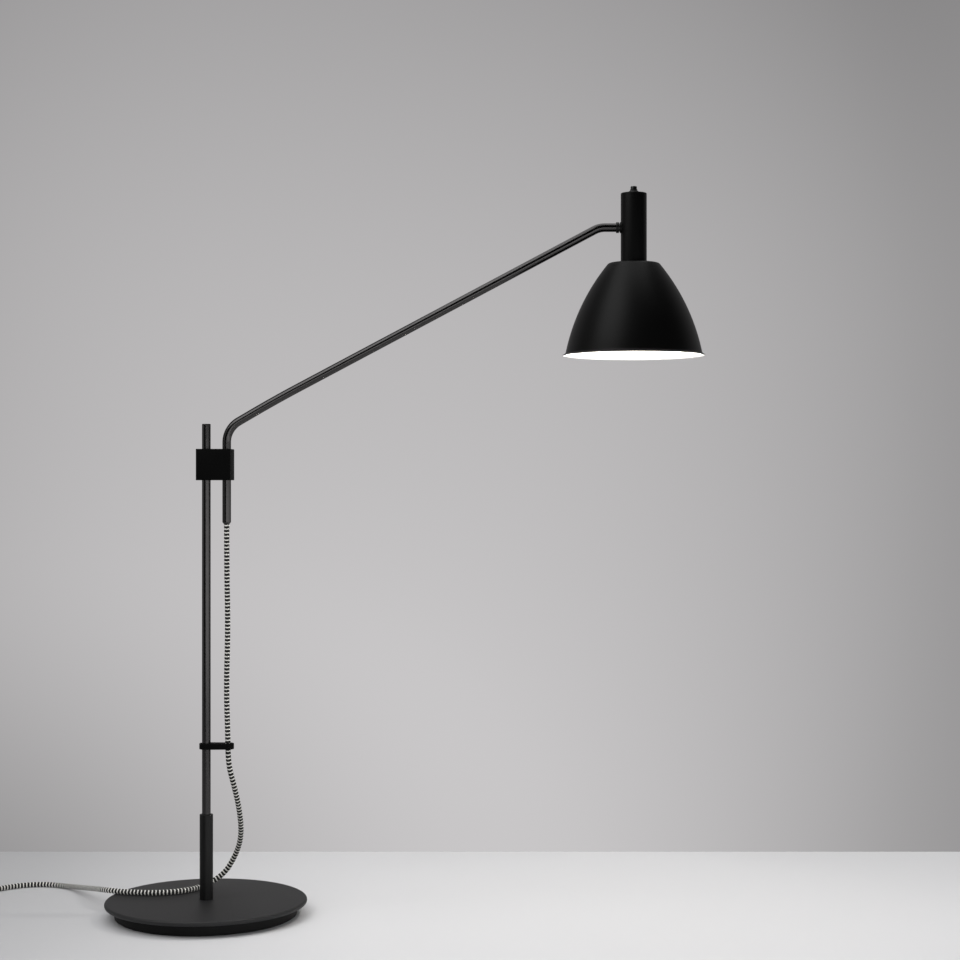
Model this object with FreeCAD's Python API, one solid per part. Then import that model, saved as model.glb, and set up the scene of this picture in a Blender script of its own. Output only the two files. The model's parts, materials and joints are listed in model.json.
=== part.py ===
import FreeCAD, Part
import math
import os

Vec = FreeCAD.Vector
up = Vec(0, 0, 1)
along = Vec(1, 0, 0)
back = Vec(0, 1, 0)

# The lamp stands on its pad at z = 0. The post is on the Z axis and the arm reaches along +X.

# Fits, as radial or face clearances.
running_gap = 0.05
screw_gap = 0.05
floor_gap = 0.05

# Base: a pad, a weight disc and a wider top plate.
pad_radius = 101.5
pad_thickness = 1.5
weight_radius = 104.5
weight_thickness = 12.0
weight_chamfer = 0.8
plate_radius = 116.0
plate_thickness = 5.5
plate_edge = 2.7

# Bolt that holds the post socket to the base from below.
bolt_diameter = 8.0
bolt_head_diameter = 13.0
bolt_head_height = 8.0
bolt_washer_diameter = 20.0
bolt_washer_thickness = 1.6
bolt_recess_diameter = 24.0
bolt_recess_spare = 0.4
bolt_engagement = 12.0
bolt_hole_spare = 2.0

# Post: a tube in a turned socket.
tube_diameter = 10.0
tube_wall = 1.0
socket_diameter = 15.4
socket_height = 98.0
socket_bore_depth = 70.0
socket_chamfer = 0.5
post_reach = 450.6
cap_head = 1.5
cap_shank = 8.0
cap_edge = 0.7
post_screw_diameter = 4.0
post_screw_height = 40.0

# Block that joins the post and the arm.
arm_spacing = 23.5
block_below_top = 65.1
block_height = 36.0
block_depth = 36.0
block_left = 9.6
block_right = 6.5
block_edge = 0.8
post_liner_wall = 1.45
arm_liner_wall = 0.65
liner_recess = 0.5
brake_diameter = 6.0
brake_pad_length = 5.0
brake_screw_length = 5.0

# Arm: one bent tube.
leg_exposed = 48.2
leg_to_bend = 108.0
first_angle = 30.35
first_run = 65.1
main_angle = 28.02
main_run = 423.6
end_run = 19.5
leg_bend_radius = 28.0
ease_radius = 1400.0
end_bend_radius = 27.0
gland_shank = 8.0
gland_nose = 2.1
gland_nose_radius = 3.5
lead_diameter = 5.0

# Swivel between the arm and the head, along +X.
collar_diameter = 12.5
collar_length = 3.2
collar_chamfer = 0.4
spigot_length = 10.0
neck_length = 1.2
neck_diameter = 9.6
seat_diameter = 12.7
seat_thickness = 1.0
pin_diameter = 8.0
inner_seat_diameter = 12.0
inner_seat_thickness = 0.8
swivel_spring_thickness = 0.8
swivel_spring_diameter = 11.0
swivel_nut_width = 11.0
swivel_nut_thickness = 4.0
pin_end = 1.0

# Head housing, lamp holder and bulb.
housing_diameter = 30.0
housing_wall = 1.5
housing_above = 39.8
housing_below = 41.0
housing_top = 2.5
housing_edge = 1.0
holder_height = 27.0
skirt_diameter = 23.8
skirt_length = 12.0
holder_bore = 16.6
holder_bore_depth = 27.0
shell_wall = 1.0
shell_inset = 4.0
contact_diameter = 6.0
contact_thickness = 1.8
cap_tip_height = 2.0
bulb_cap_length = 16.0
bulb_neck_radius = 6.6
bulb_radius = 22.5
bulb_length = 78.0
bulb_wall = 0.8
housing_screw_diameter = 3.0
housing_screw_height = 8.0
housing_screw_length = 4.2
housing_screw_recess = 0.3
wire_diameter = 2.2
wire_bend = 5.0
wire_gap = 0.2

# Shade: a spun bell with a flat top, a rounded shoulder and a flared lip.
shade_wall = 1.0
shade_flat_radius = 27.0
shoulder_radius = 4.5
shoulder_angle = 39.0
bell_radius = 238.0
bell_drop = 101.2
lip_radius = 3.5
lip_angle = 27.0
lip_length = 1.7
ring_diameter = 34.0
ring_height = 6.0
ring_chamfer = 0.6

# Push switch in the top of the housing.
bush_diameter = 8.6
bush_rise = 4.2
switch_nut_diameter = 11.5
switch_nut_height = 2.6
switch_nut_chamfer = 1.2
switch_body_diameter = 14.0
switch_body_height = 15.0
button_diameter = 7.3
button_rise = 3.8
button_length = 13.0
button_edge = 0.6
spring_room = 4.0

# Clip that holds the cord beside the post.
clip_bottom = 192.2
clip_height = 6.8
clip_post_radius = 8.1
clip_cord_radius = 7.0
clip_cord_gap = 0.45
clip_slot = 3.2
clip_edge = 0.7

# Cord and its coil.
cord_diameter = 6.2
cord_x_at_clip = 24.9
plate_lie = 22.15
table_lie = 3.15
coil_radius = 43.5
coil_gap = 0.6
coil_lower_turns = 2.0
coil_upper_turns = 1.5
tail_level_run = 18.0
tail_slope_run = 22.0

# Plug: a flat two-pin plug on the cord's end.
plug_length = 36.0
plug_front_width = 26.0
plug_rear_width = 13.0
plug_thickness = 13.5
plug_edge = 2.5
plug_shoulder = 12.0
plug_pin_diameter = 4.0
plug_pin_length = 19.0
plug_pin_spacing = 18.6
plug_pin_root_diameter = 3.0
plug_pin_root = 8.0
plug_pin_tip = 0.8
relief_length = 24.0
relief_start_radius = 5.2
relief_end_radius = 3.9

# Heights and places that follow from these.
weight_bottom = pad_thickness
plate_bottom = weight_bottom + weight_thickness
plate_top = plate_bottom + plate_thickness
socket_top = plate_top + socket_height
post_bottom = socket_top - socket_bore_depth
post_top = socket_top + post_reach
block_bottom = post_top - block_below_top
tube_radius = tube_diameter / 2
tube_bore = tube_radius - tube_wall
block_top = block_bottom + block_height
post_liner_inner = tube_radius + running_gap
post_liner_outer = post_liner_inner + post_liner_wall
arm_liner_inner = tube_radius + running_gap
arm_liner_outer = arm_liner_inner + arm_liner_wall
leg_bottom = block_bottom - leg_exposed
cord_top = leg_bottom - gland_nose
cord_radius = cord_diameter / 2


def step_along(start, degrees, run):
    """A point that lies run away from start, at an angle above the horizontal, in the XZ plane."""
    angle = math.radians(degrees)
    return start + Vec(run * math.cos(angle), 0, run * math.sin(angle))


arm_foot = Vec(arm_spacing, 0, leg_bottom)
arm_bend = arm_foot + Vec(0, 0, leg_to_bend)
arm_ease = step_along(arm_bend, first_angle, first_run)
arm_top = step_along(arm_ease, main_angle, main_run)
arm_end = arm_top + Vec(end_run, 0, 0)

tilt_z = arm_end.z
head_x = arm_end.x + collar_length + neck_length + seat_thickness + housing_diameter / 2
housing_radius = housing_diameter / 2
housing_bore = housing_radius - housing_wall
housing_bottom_z = tilt_z - housing_below
housing_top_z = tilt_z + housing_above
shade_top = housing_bottom_z
skirt_bottom = shade_top - skirt_length
holder_bore_top = skirt_bottom + holder_bore_depth
bulb_top = holder_bore_top - contact_thickness
button_top = housing_top_z + bush_rise + button_rise


# ---- plain shapes ----

def cylinder(radius, height, base, axis=up):
    return Part.makeCylinder(radius, height, base, axis)


def tube(outer, inner, height, base, axis=up):
    solid = cylinder(outer, height, base, axis)
    return solid.cut(cylinder(inner, height, base, axis))


def spun(points, x=0.0):
    """A closed outline of (radius, z) points turned round the vertical line at x."""
    corners = [Vec(x + radius, 0, z) for radius, z in points]
    face = Part.Face(Part.makePolygon(corners + [corners[0]]))
    return face.revolve(Vec(x, 0, 0), up, 360)


def edges_at(shape, test):
    return [edge for edge in shape.Edges if test(edge)]


def level_edge(z):
    """Picks the edges that lie flat at height z."""
    def test(edge):
        box = edge.BoundBox
        return abs(box.ZMin - z) < 1e-4 and abs(box.ZMax - z) < 1e-4
    return test


def upright_edge(edge):
    box = edge.BoundBox
    return box.ZLength > 1.0 and box.XLength < 1e-4 and box.YLength < 1e-4


# ---- paths of tangent arcs ----

def arc_edge(start, corner, end):
    """The arc that leaves start towards corner and reaches end from it, both as far from the corner."""
    middle = (start + end) * 0.5
    half_turn = (end - start).getAngle(corner - start)
    share = math.cos(half_turn) / (1 + math.cos(half_turn))
    return Part.Arc(start, middle + (corner - middle) * share, end).toShape()


def rounded_path(points, radii):
    """Straight runs between points, joined by tangent arcs of the given radii."""
    edges = []
    reached = points[0]
    for before, corner, after, radius in zip(points, points[1:], points[2:], radii):
        inward = (corner - before).normalize()
        outward = (after - corner).normalize()
        reach = radius * math.tan(inward.getAngle(outward) / 2)
        start = corner - inward * reach
        end = corner + outward * reach
        edges.append(Part.LineSegment(reached, start).toShape())
        edges.append(arc_edge(start, corner, end))
        reached = end
    edges.append(Part.LineSegment(reached, points[-1]).toShape())
    return Part.Wire(edges)


def cord_radii(points):
    """Each corner's radius: as large as its two runs allow."""
    radii = []
    for before, corner, after in zip(points, points[1:], points[2:]):
        shorter = min((corner - before).Length, (after - corner).Length)
        turn = (corner - before).getAngle(after - corner)
        radii.append(0.45 * shorter / math.tan(turn / 2))
    return radii


def swept(path, radius):
    start = path.Vertexes[0].Point
    heading = path.Edges[0].tangentAt(path.Edges[0].FirstParameter)
    ring = Part.Wire(Part.Circle(start, heading, radius).toShape())
    return path.makePipeShell([ring], True, False)


def say_tube(name, path, solid, radius):
    expected = math.pi * radius ** 2 * path.Length
    print(f"{name}: length {path.Length:.1f} mm, volume {solid.Volume:.0f} of {expected:.0f} mm3")


# ---- base ----

def base_pad():
    return cylinder(pad_radius, pad_thickness, Vec(0, 0, 0))


def bolt_seat_z():
    depth = bolt_head_height + bolt_washer_thickness + bolt_recess_spare
    return weight_bottom + depth


def base_weight():
    disc = cylinder(weight_radius, weight_thickness, Vec(0, 0, weight_bottom))
    disc = disc.makeChamfer(weight_chamfer, edges_at(disc, level_edge(weight_bottom)))
    recess = cylinder(bolt_recess_diameter / 2, bolt_seat_z() - weight_bottom, Vec(0, 0, weight_bottom))
    hole = cylinder(bolt_diameter / 2 + screw_gap, weight_thickness, Vec(0, 0, weight_bottom))
    return disc.cut(recess).cut(hole)


def base_plate():
    disc = cylinder(plate_radius, plate_thickness, Vec(0, 0, plate_bottom))
    disc = disc.makeFillet(plate_edge, edges_at(disc, level_edge(plate_bottom)))
    disc = disc.makeFillet(plate_edge, edges_at(disc, level_edge(plate_top)))
    hole = cylinder(bolt_diameter / 2 + screw_gap, plate_thickness, Vec(0, 0, plate_bottom))
    return disc.cut(hole)


def base_washer():
    bottom = bolt_seat_z() - bolt_washer_thickness
    inner = bolt_diameter / 2 + screw_gap
    return tube(bolt_washer_diameter / 2, inner, bolt_washer_thickness, Vec(0, 0, bottom))


def base_bolt():
    head_top = bolt_seat_z() - bolt_washer_thickness
    head = cylinder(bolt_head_diameter / 2, bolt_head_height, Vec(0, 0, head_top - bolt_head_height))
    shank = cylinder(bolt_diameter / 2, plate_top + bolt_engagement - head_top, Vec(0, 0, head_top))
    return head.fuse(shank).removeSplitter()


# ---- post ----

def post_screw_place():
    return Vec(0, 0, plate_top + post_screw_height)


def post_socket():
    body = cylinder(socket_diameter / 2, socket_height, Vec(0, 0, plate_top))
    body = body.makeChamfer(socket_chamfer, edges_at(body, level_edge(socket_top)))
    bore = cylinder(tube_radius + screw_gap, socket_bore_depth, Vec(0, 0, post_bottom))
    thread_depth = bolt_engagement + bolt_hole_spare
    thread = cylinder(bolt_diameter / 2 + screw_gap, thread_depth, Vec(0, 0, plate_top))
    screw_hole = cylinder(post_screw_diameter / 2 + screw_gap, socket_diameter, post_screw_place(), back)
    return body.cut(bore).cut(thread).cut(screw_hole)


def post_screw():
    start = post_screw_place() + back * (tube_radius + screw_gap)
    length = socket_diameter / 2 - tube_radius - 2 * screw_gap
    return cylinder(post_screw_diameter / 2, length, start, back)


def post_tube():
    length = post_top - cap_head - post_bottom
    return tube(tube_radius, tube_bore, length, Vec(0, 0, post_bottom))


def post_cap():
    seat = post_top - cap_head
    head = cylinder(tube_radius, cap_head, Vec(0, 0, seat))
    head = head.makeFillet(cap_edge, edges_at(head, level_edge(post_top)))
    shank = cylinder(tube_bore - screw_gap, cap_shank, Vec(0, 0, seat - cap_shank))
    return head.fuse(shank).removeSplitter()


# ---- clip ----

def clip_outline(post_radius, other_radius, height, bottom):
    """Two discs and the straight walls that touch both."""
    lean = math.acos((post_radius - other_radius) / cord_x_at_clip)
    touch = Vec(math.cos(lean), math.sin(lean), 0)
    mirrored = Vec(touch.x, -touch.y, 0)
    far = Vec(cord_x_at_clip, 0, 0)
    corners = [
        touch * post_radius,
        mirrored * post_radius,
        far + mirrored * other_radius,
        far + touch * other_radius,
    ]
    web = Part.Face(Part.makePolygon(corners + [corners[0]])).extrude(Vec(0, 0, height))
    round_post = cylinder(post_radius, height, Vec(0, 0, 0))
    round_cord = cylinder(other_radius, height, far)
    solid = web.fuse([round_post, round_cord]).removeSplitter()
    solid.translate(Vec(0, 0, bottom))
    return solid


def cord_clip():
    body = clip_outline(clip_post_radius, clip_cord_radius, clip_height, clip_bottom)
    rims = edges_at(body, level_edge(clip_bottom)) + edges_at(body, level_edge(clip_bottom + clip_height))
    body = body.makeFillet(clip_edge, rims)
    post_hole = cylinder(tube_radius + running_gap, clip_height, Vec(0, 0, clip_bottom))
    cord_place = Vec(cord_x_at_clip, 0, clip_bottom)
    cord_hole = cylinder(cord_radius + clip_cord_gap, clip_height, cord_place)
    slot_corner = cord_place - Vec(clip_slot / 2, 0, 0)
    slot = Part.makeBox(clip_slot, clip_cord_radius, clip_height, slot_corner)
    return body.cut(post_hole).cut(cord_hole).cut(slot)


# ---- block ----

def brake_places():
    """Where each brake's hole starts: on the liner's back, half way up the block."""
    middle = block_bottom + block_height / 2
    return [
        Vec(0, post_liner_outer + running_gap, middle),
        Vec(arm_spacing, arm_liner_outer + running_gap, middle),
    ]


def clamp_block():
    corner = Vec(-block_left, -block_depth / 2, block_bottom)
    body = Part.makeBox(block_left + arm_spacing + block_right, block_depth, block_height, corner)
    body = body.makeFillet(block_edge, edges_at(body, upright_edge))
    rims = edges_at(body, level_edge(block_bottom)) + edges_at(body, level_edge(block_top))
    body = body.makeChamfer(block_edge / 2, rims)
    for x, liner_outer in ((0, post_liner_outer), (arm_spacing, arm_liner_outer)):
        body = body.cut(cylinder(liner_outer + running_gap, block_height, Vec(x, 0, block_bottom)))
    for place in brake_places():
        foot = Vec(place.x, 0, place.z)
        body = body.cut(cylinder(brake_diameter / 2 + screw_gap, block_depth, foot, back))
    return body


def brake_pads():
    pads = [cylinder(brake_diameter / 2, brake_pad_length, place, back) for place in brake_places()]
    return Part.makeCompound(pads)


def brake_screws():
    screws = []
    for place in brake_places():
        start = place + back * brake_pad_length
        screws.append(cylinder(brake_diameter / 2, brake_screw_length, start, back))
    return Part.makeCompound(screws)


def post_liner():
    length = block_height - 2 * liner_recess
    return tube(post_liner_outer, post_liner_inner, length, Vec(0, 0, block_bottom + liner_recess))


def arm_liner():
    length = block_height - 2 * liner_recess
    base = Vec(arm_spacing, 0, block_bottom + liner_recess)
    return tube(arm_liner_outer, arm_liner_inner, length, base)


# ---- arm ----

def arm_path(start):
    points = [start, arm_bend, arm_ease, arm_top, arm_end]
    return rounded_path(points, [leg_bend_radius, ease_radius, end_bend_radius])


def arm_tube():
    path = arm_path(arm_foot)
    return swept(path, tube_radius).cut(swept(path, tube_bore))


def arm_gland():
    inner = lead_diameter / 2 + screw_gap
    shank = tube_bore - screw_gap
    outline = [
        (inner, cord_top),
        (gland_nose_radius, cord_top),
        (tube_radius, leg_bottom),
        (shank, leg_bottom),
        (shank, leg_bottom + gland_shank),
        (inner, leg_bottom + gland_shank),
    ]
    return spun(outline, arm_spacing)


def pin_tip_x():
    seat_face = inner_seat_face_x() + running_gap
    return seat_face + swivel_spring_thickness + swivel_nut_thickness + pin_end


def arm_lead():
    """The cord's core inside the tube, from the gland's nose to the end of the swivel pin."""
    points = [Vec(arm_spacing, 0, cord_top), arm_bend, arm_ease, arm_top, Vec(pin_tip_x(), 0, tilt_z)]
    path = rounded_path(points, [leg_bend_radius, ease_radius, end_bend_radius])
    return swept(path, lead_diameter / 2)


# ---- swivel ----

def inner_seat_face_x():
    """The flat inner face of the seat that lies in the housing's round wall."""
    depth = housing_bore - math.sqrt(housing_bore ** 2 - (inner_seat_diameter / 2) ** 2)
    return head_x - housing_bore + depth + inner_seat_thickness


def swivel_pin():
    axis_start = Vec(arm_end.x, 0, tilt_z)
    collar = cylinder(collar_diameter / 2, collar_length, axis_start, along)
    rims = edges_at(collar, lambda edge: edge.BoundBox.XLength < 1e-4)
    collar = collar.makeChamfer(collar_chamfer, rims)
    spigot = cylinder(tube_bore - screw_gap, spigot_length, axis_start - along * spigot_length, along)
    journal_start = axis_start + along * collar_length
    journal = cylinder(pin_diameter / 2, pin_tip_x() - journal_start.x, journal_start, along)
    body = collar.fuse([spigot, journal]).removeSplitter()
    bore_start = axis_start - along * spigot_length
    return body.cut(cylinder(lead_diameter / 2 + screw_gap, pin_tip_x() - bore_start.x, bore_start, along))


def neck_washer():
    start = Vec(arm_end.x + collar_length, 0, tilt_z)
    return tube(neck_diameter / 2, pin_diameter / 2 + running_gap, neck_length - running_gap, start, along)


def swivel_seat():
    start = Vec(arm_end.x + collar_length + neck_length, 0, tilt_z)
    disc = cylinder(seat_diameter / 2, housing_radius, start, along)
    bore = cylinder(pin_diameter / 2 + running_gap, housing_radius, start, along)
    wall = cylinder(housing_radius, seat_diameter * 2, Vec(head_x, 0, tilt_z - seat_diameter))
    return disc.cut(bore).cut(wall)


def inner_seat():
    start = Vec(head_x - housing_bore, 0, tilt_z)
    disc = cylinder(inner_seat_diameter / 2, inner_seat_face_x() - start.x, start, along)
    bore = cylinder(pin_diameter / 2 + running_gap, housing_bore, start, along)
    inside = cylinder(housing_bore, inner_seat_diameter * 2, Vec(head_x, 0, tilt_z - inner_seat_diameter))
    return disc.common(inside).cut(bore)


def swivel_spring():
    start = Vec(inner_seat_face_x() + running_gap, 0, tilt_z)
    outer = swivel_spring_diameter / 2
    return tube(outer, pin_diameter / 2 + screw_gap, swivel_spring_thickness, start, along)


def swivel_nut():
    start = Vec(inner_seat_face_x() + running_gap + swivel_spring_thickness, 0, tilt_z)
    corner_radius = swivel_nut_width / 2 / math.cos(math.radians(30))
    corners = []
    for index in range(6):
        angle = math.radians(60 * index)
        corners.append(start + Vec(0, corner_radius * math.cos(angle), corner_radius * math.sin(angle)))
    nut = Part.Face(Part.makePolygon(corners + [corners[0]])).extrude(along * swivel_nut_thickness)
    return nut.cut(cylinder(pin_diameter / 2 + screw_gap, swivel_nut_thickness, start, along))


# ---- head ----

def housing_screw_axes():
    """Two screws in the back of the housing, 60 degrees apart."""
    return [Vec(math.cos(math.radians(angle)), math.sin(math.radians(angle)), 0) for angle in (60, 120)]


def housing_screw_foot():
    return Vec(head_x, 0, housing_bottom_z + housing_screw_height)


def head_housing():
    height = housing_below + housing_above
    body = cylinder(housing_radius, height, Vec(head_x, 0, housing_bottom_z))
    body = body.makeFillet(housing_edge, edges_at(body, level_edge(housing_top_z)))
    body = body.cut(cylinder(housing_bore, height - housing_top, Vec(head_x, 0, housing_bottom_z)))
    roof = Vec(head_x, 0, housing_top_z - housing_top)
    body = body.cut(cylinder(bush_diameter / 2 + screw_gap, housing_top, roof))
    pin_hole_start = Vec(head_x - housing_radius - 1, 0, tilt_z)
    body = body.cut(cylinder(pin_diameter / 2 + running_gap, housing_radius, pin_hole_start, along))
    screw_radius = housing_screw_diameter / 2 + screw_gap
    for axis in housing_screw_axes():
        body = body.cut(cylinder(screw_radius, housing_diameter, housing_screw_foot(), axis))
    return body


def housing_screws():
    screws = []
    outer_end = housing_radius - housing_screw_recess
    for axis in housing_screw_axes():
        start = housing_screw_foot() + axis * (outer_end - housing_screw_length)
        screws.append(cylinder(housing_screw_diameter / 2, housing_screw_length, start, axis))
    return Part.makeCompound(screws)


def lampholder():
    body = cylinder(housing_bore - screw_gap, holder_height, Vec(head_x, 0, shade_top))
    skirt = cylinder(skirt_diameter / 2, skirt_length, Vec(head_x, 0, skirt_bottom))
    body = body.fuse(skirt).removeSplitter()
    body = body.cut(cylinder(holder_bore / 2, holder_bore_depth, Vec(head_x, 0, skirt_bottom)))
    inner_end = housing_radius - housing_screw_recess - housing_screw_length
    for axis in housing_screw_axes():
        start = housing_screw_foot() + axis * inner_end
        body = body.cut(cylinder(housing_screw_diameter / 2 + screw_gap, housing_radius, start, axis))
    return body


def screw_shell():
    outer = holder_bore / 2 - screw_gap
    height = holder_bore_depth - shell_inset - contact_thickness
    return tube(outer, outer - shell_wall, height, Vec(head_x, 0, skirt_bottom + shell_inset))


def centre_contact():
    return cylinder(contact_diameter / 2, contact_thickness, Vec(head_x, 0, bulb_top))


def shade_outline(offset):
    """The bell's outer line, moved inwards by offset: from the flat top to the lip's edge."""
    theta = math.radians(shoulder_angle)
    flat_end = Vec(head_x + shade_flat_radius, 0, shade_top)
    shoulder_centre = flat_end - up * shoulder_radius
    normal = Vec(math.cos(theta), 0, math.sin(theta))
    bell_start = shoulder_centre + normal * shoulder_radius
    bell_centre = bell_start - normal * bell_radius
    low = math.asin(math.sin(theta) - bell_drop / bell_radius)
    low_normal = Vec(math.cos(low), 0, math.sin(low))
    lip_centre = bell_centre + low_normal * (bell_radius + lip_radius)
    lip_down = math.radians(lip_angle)
    lip_normal = Vec(math.sin(lip_down), 0, math.cos(lip_down))
    lip_heading = Vec(math.cos(lip_down), 0, -math.sin(lip_down))

    def on_arc(centre, radius, first, last):
        middle = (first + last).normalize()
        return [centre + first * radius, centre + middle * radius, centre + last * radius]

    shoulder = on_arc(shoulder_centre, shoulder_radius - offset, up, normal)
    bell = on_arc(bell_centre, bell_radius - offset, normal, low_normal)
    lip = on_arc(lip_centre, -(lip_radius + offset), low_normal, lip_normal)
    edge = lip[2] + lip_heading * lip_length
    return shoulder, bell, lip, edge


def shade():
    outer = shade_outline(0)
    inner = shade_outline(shade_wall)
    hole_radius = skirt_diameter / 2 + 2 * screw_gap
    hole_top = Vec(head_x + hole_radius, 0, shade_top)
    hole_bottom = hole_top - up * shade_wall
    edges = [Part.LineSegment(hole_top, outer[0][0]).toShape()]
    edges += [Part.Arc(*arc).toShape() for arc in outer[:3]]
    edges.append(Part.LineSegment(outer[2][2], outer[3]).toShape())
    edges.append(Part.LineSegment(outer[3], inner[3]).toShape())
    edges.append(Part.LineSegment(inner[3], inner[2][2]).toShape())
    edges += [Part.Arc(*arc[::-1]).toShape() for arc in inner[2::-1]]
    edges.append(Part.LineSegment(inner[0][0], hole_bottom).toShape())
    edges.append(Part.LineSegment(hole_bottom, hole_top).toShape())
    return Part.Face(Part.Wire(edges)).revolve(Vec(head_x, 0, 0), up, 360)


def shade_ring():
    bottom = Vec(head_x, 0, shade_top - shade_wall - ring_height)
    disc = cylinder(ring_diameter / 2, ring_height, bottom)
    disc = disc.makeChamfer(ring_chamfer, edges_at(disc, level_edge(bottom.z)))
    return disc.cut(cylinder(skirt_diameter / 2 + screw_gap, ring_height, bottom))


def bulb_outline(offset):
    """Half of the bulb's outline, moved inwards by offset: a ball, a cone that touches it and a neck."""
    ball_centre = Vec(head_x, 0, bulb_top - bulb_length + bulb_radius)
    neck_top = Vec(head_x + bulb_neck_radius - offset, 0, bulb_top - cap_tip_height - bulb_cap_length)
    neck_bottom = neck_top - up * (skirt_length - shell_inset + 1)
    radius = bulb_radius - offset
    to_neck = neck_bottom - ball_centre
    lean = math.atan2(to_neck.z, to_neck.x) - math.acos(radius / to_neck.Length)
    touch = ball_centre + Vec(math.cos(lean), 0, math.sin(lean)) * radius
    middle_angle = (lean - math.pi / 2) / 2
    middle = ball_centre + Vec(math.cos(middle_angle), 0, math.sin(middle_angle)) * radius
    bottom = ball_centre - up * radius
    top_centre = Vec(head_x, 0, neck_top.z)
    edges = [
        Part.LineSegment(top_centre, neck_top).toShape(),
        Part.LineSegment(neck_top, neck_bottom).toShape(),
        Part.LineSegment(neck_bottom, touch).toShape(),
        Part.Arc(touch, middle, bottom).toShape(),
        Part.LineSegment(bottom, top_centre).toShape(),
    ]
    return Part.Face(Part.Wire(edges)).revolve(Vec(head_x, 0, 0), up, 360)


def bulb_glass():
    return bulb_outline(0).cut(bulb_outline(bulb_wall))


def bulb_cap():
    outer = holder_bore / 2 - 2 * screw_gap - shell_wall
    shell_bottom = bulb_top - cap_tip_height - bulb_cap_length
    outline = [
        (0, shell_bottom),
        (outer, shell_bottom),
        (outer, bulb_top - cap_tip_height),
        (contact_diameter / 2, bulb_top),
        (0, bulb_top),
    ]
    return spun(outline, head_x)


def head_wires():
    """Two wires from the lead's end: one down to the lamp holder, one up to the switch."""
    side = (wire_diameter + wire_gap) / 2
    wires = []
    for y, end_z in ((-side, shade_top + holder_height), (side, switch_bottom())):
        start = Vec(pin_tip_x(), y, tilt_z)
        corner = Vec(head_x + wire_bend / 2, y, tilt_z)
        end = Vec(corner.x, y, end_z)
        wires.append(swept(rounded_path([start, corner, end], [wire_bend]), wire_diameter / 2))
    return Part.makeCompound(wires)


# ---- switch ----

def switch_bottom():
    return housing_top_z - housing_top - switch_body_height


def switch_body():
    body = cylinder(switch_body_diameter / 2, switch_body_height, Vec(head_x, 0, switch_bottom()))
    roof = Vec(head_x, 0, housing_top_z - housing_top)
    bush = cylinder(bush_diameter / 2, housing_top + bush_rise, roof)
    bore_depth = button_length + spring_room
    bore_foot = Vec(head_x, 0, button_top - bore_depth)
    bore = cylinder(button_diameter / 2 + running_gap, bore_depth, bore_foot)
    return body.fuse(bush).removeSplitter().cut(bore)


def switch_nut():
    place = Vec(head_x, 0, housing_top_z)
    disc = cylinder(switch_nut_diameter / 2, switch_nut_height, place)
    rim = edges_at(disc, level_edge(housing_top_z + switch_nut_height))
    disc = disc.makeChamfer(switch_nut_chamfer, rim)
    return disc.cut(cylinder(bush_diameter / 2 + screw_gap, switch_nut_height, place))


def switch_button():
    button = cylinder(button_diameter / 2, button_length, Vec(head_x, 0, button_top - button_length))
    return button.makeFillet(button_edge, edges_at(button, level_edge(button_top)))


# ---- cord ----

# From the gland down to the clip, in a loose bow behind the socket, over the plate and along the table.
cord_route = [
    Vec(arm_spacing, 0, cord_top),
    Vec(arm_spacing, 0, 402),
    Vec(25, 0, 334),
    Vec(23, 0, 262),
    Vec(24.8, 0, 208),
    Vec(25.3, 0.5, 174),
    Vec(31.3, 9, 147),
    Vec(35.7, 25, 115),
    Vec(35.2, 44, 82),
    Vec(25.5, 59, 56),
    Vec(11, 63, 33.5),
    Vec(-11.5, 54, plate_lie),
    Vec(-27, 31, plate_lie),
    Vec(-55, 17, plate_lie),
    Vec(-96, 21.5, plate_lie),
    Vec(-124.5, 34.5, plate_lie),
    Vec(-141.5, 67, 16.5),
    Vec(-162.5, 106.5, 9),
    Vec(-189, 142.5, table_lie),
    Vec(-224.5, 156.5, table_lie),
    Vec(-257, 145, table_lie),
    Vec(-286, 113, table_lie),
]
drop_points = 14


def coil_rate():
    """How far the turns move in or out for each radian."""
    return (cord_diameter + coil_gap) / (2 * math.pi)


def coil_frame():
    """The coil's centre and its starting angle, so that its first turn carries on from the cord."""
    heading = (cord_route[-1] - cord_route[-2]).normalize()
    lead_in = cord_route[-1] + heading * cord_diameter
    lean = math.atan2(coil_rate(), coil_radius)
    start_angle = math.atan2(heading.y, heading.x) + math.pi / 2 + lean
    centre = lead_in - Vec(math.cos(start_angle), math.sin(start_angle), 0) * coil_radius
    return centre, start_angle


def coil_state(travel):
    """Radius, its rate, height and its rate, after turning through travel radians."""
    rate = coil_rate()
    lower = 2 * math.pi * coil_lower_turns
    inner = coil_radius - rate * lower
    layer = cord_diameter + coil_gap
    if travel <= lower:
        return coil_radius - rate * travel, -rate, 0.0, 0.0
    if travel >= lower + math.pi:
        return inner + rate * (travel - lower - math.pi), rate, layer, 0.0
    part = (travel - lower) / math.pi
    radius = inner - rate * math.pi * part * (1 - part)
    height = layer * part * part * (3 - 2 * part)
    return radius, rate * (2 * part - 1), height, layer * 6 * part * (1 - part) / math.pi


def coil_point(travel):
    """A point on the coil's line and the direction of the cord there."""
    centre, start_angle = coil_frame()
    radius, radius_rate, height, height_rate = coil_state(travel)
    angle = start_angle - travel
    outward = Vec(math.cos(angle), math.sin(angle), 0)
    forward = Vec(math.sin(angle), -math.cos(angle), 0)
    heading = (forward * radius + outward * radius_rate + up * height_rate).normalize()
    return centre + outward * radius + up * height, heading


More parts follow.
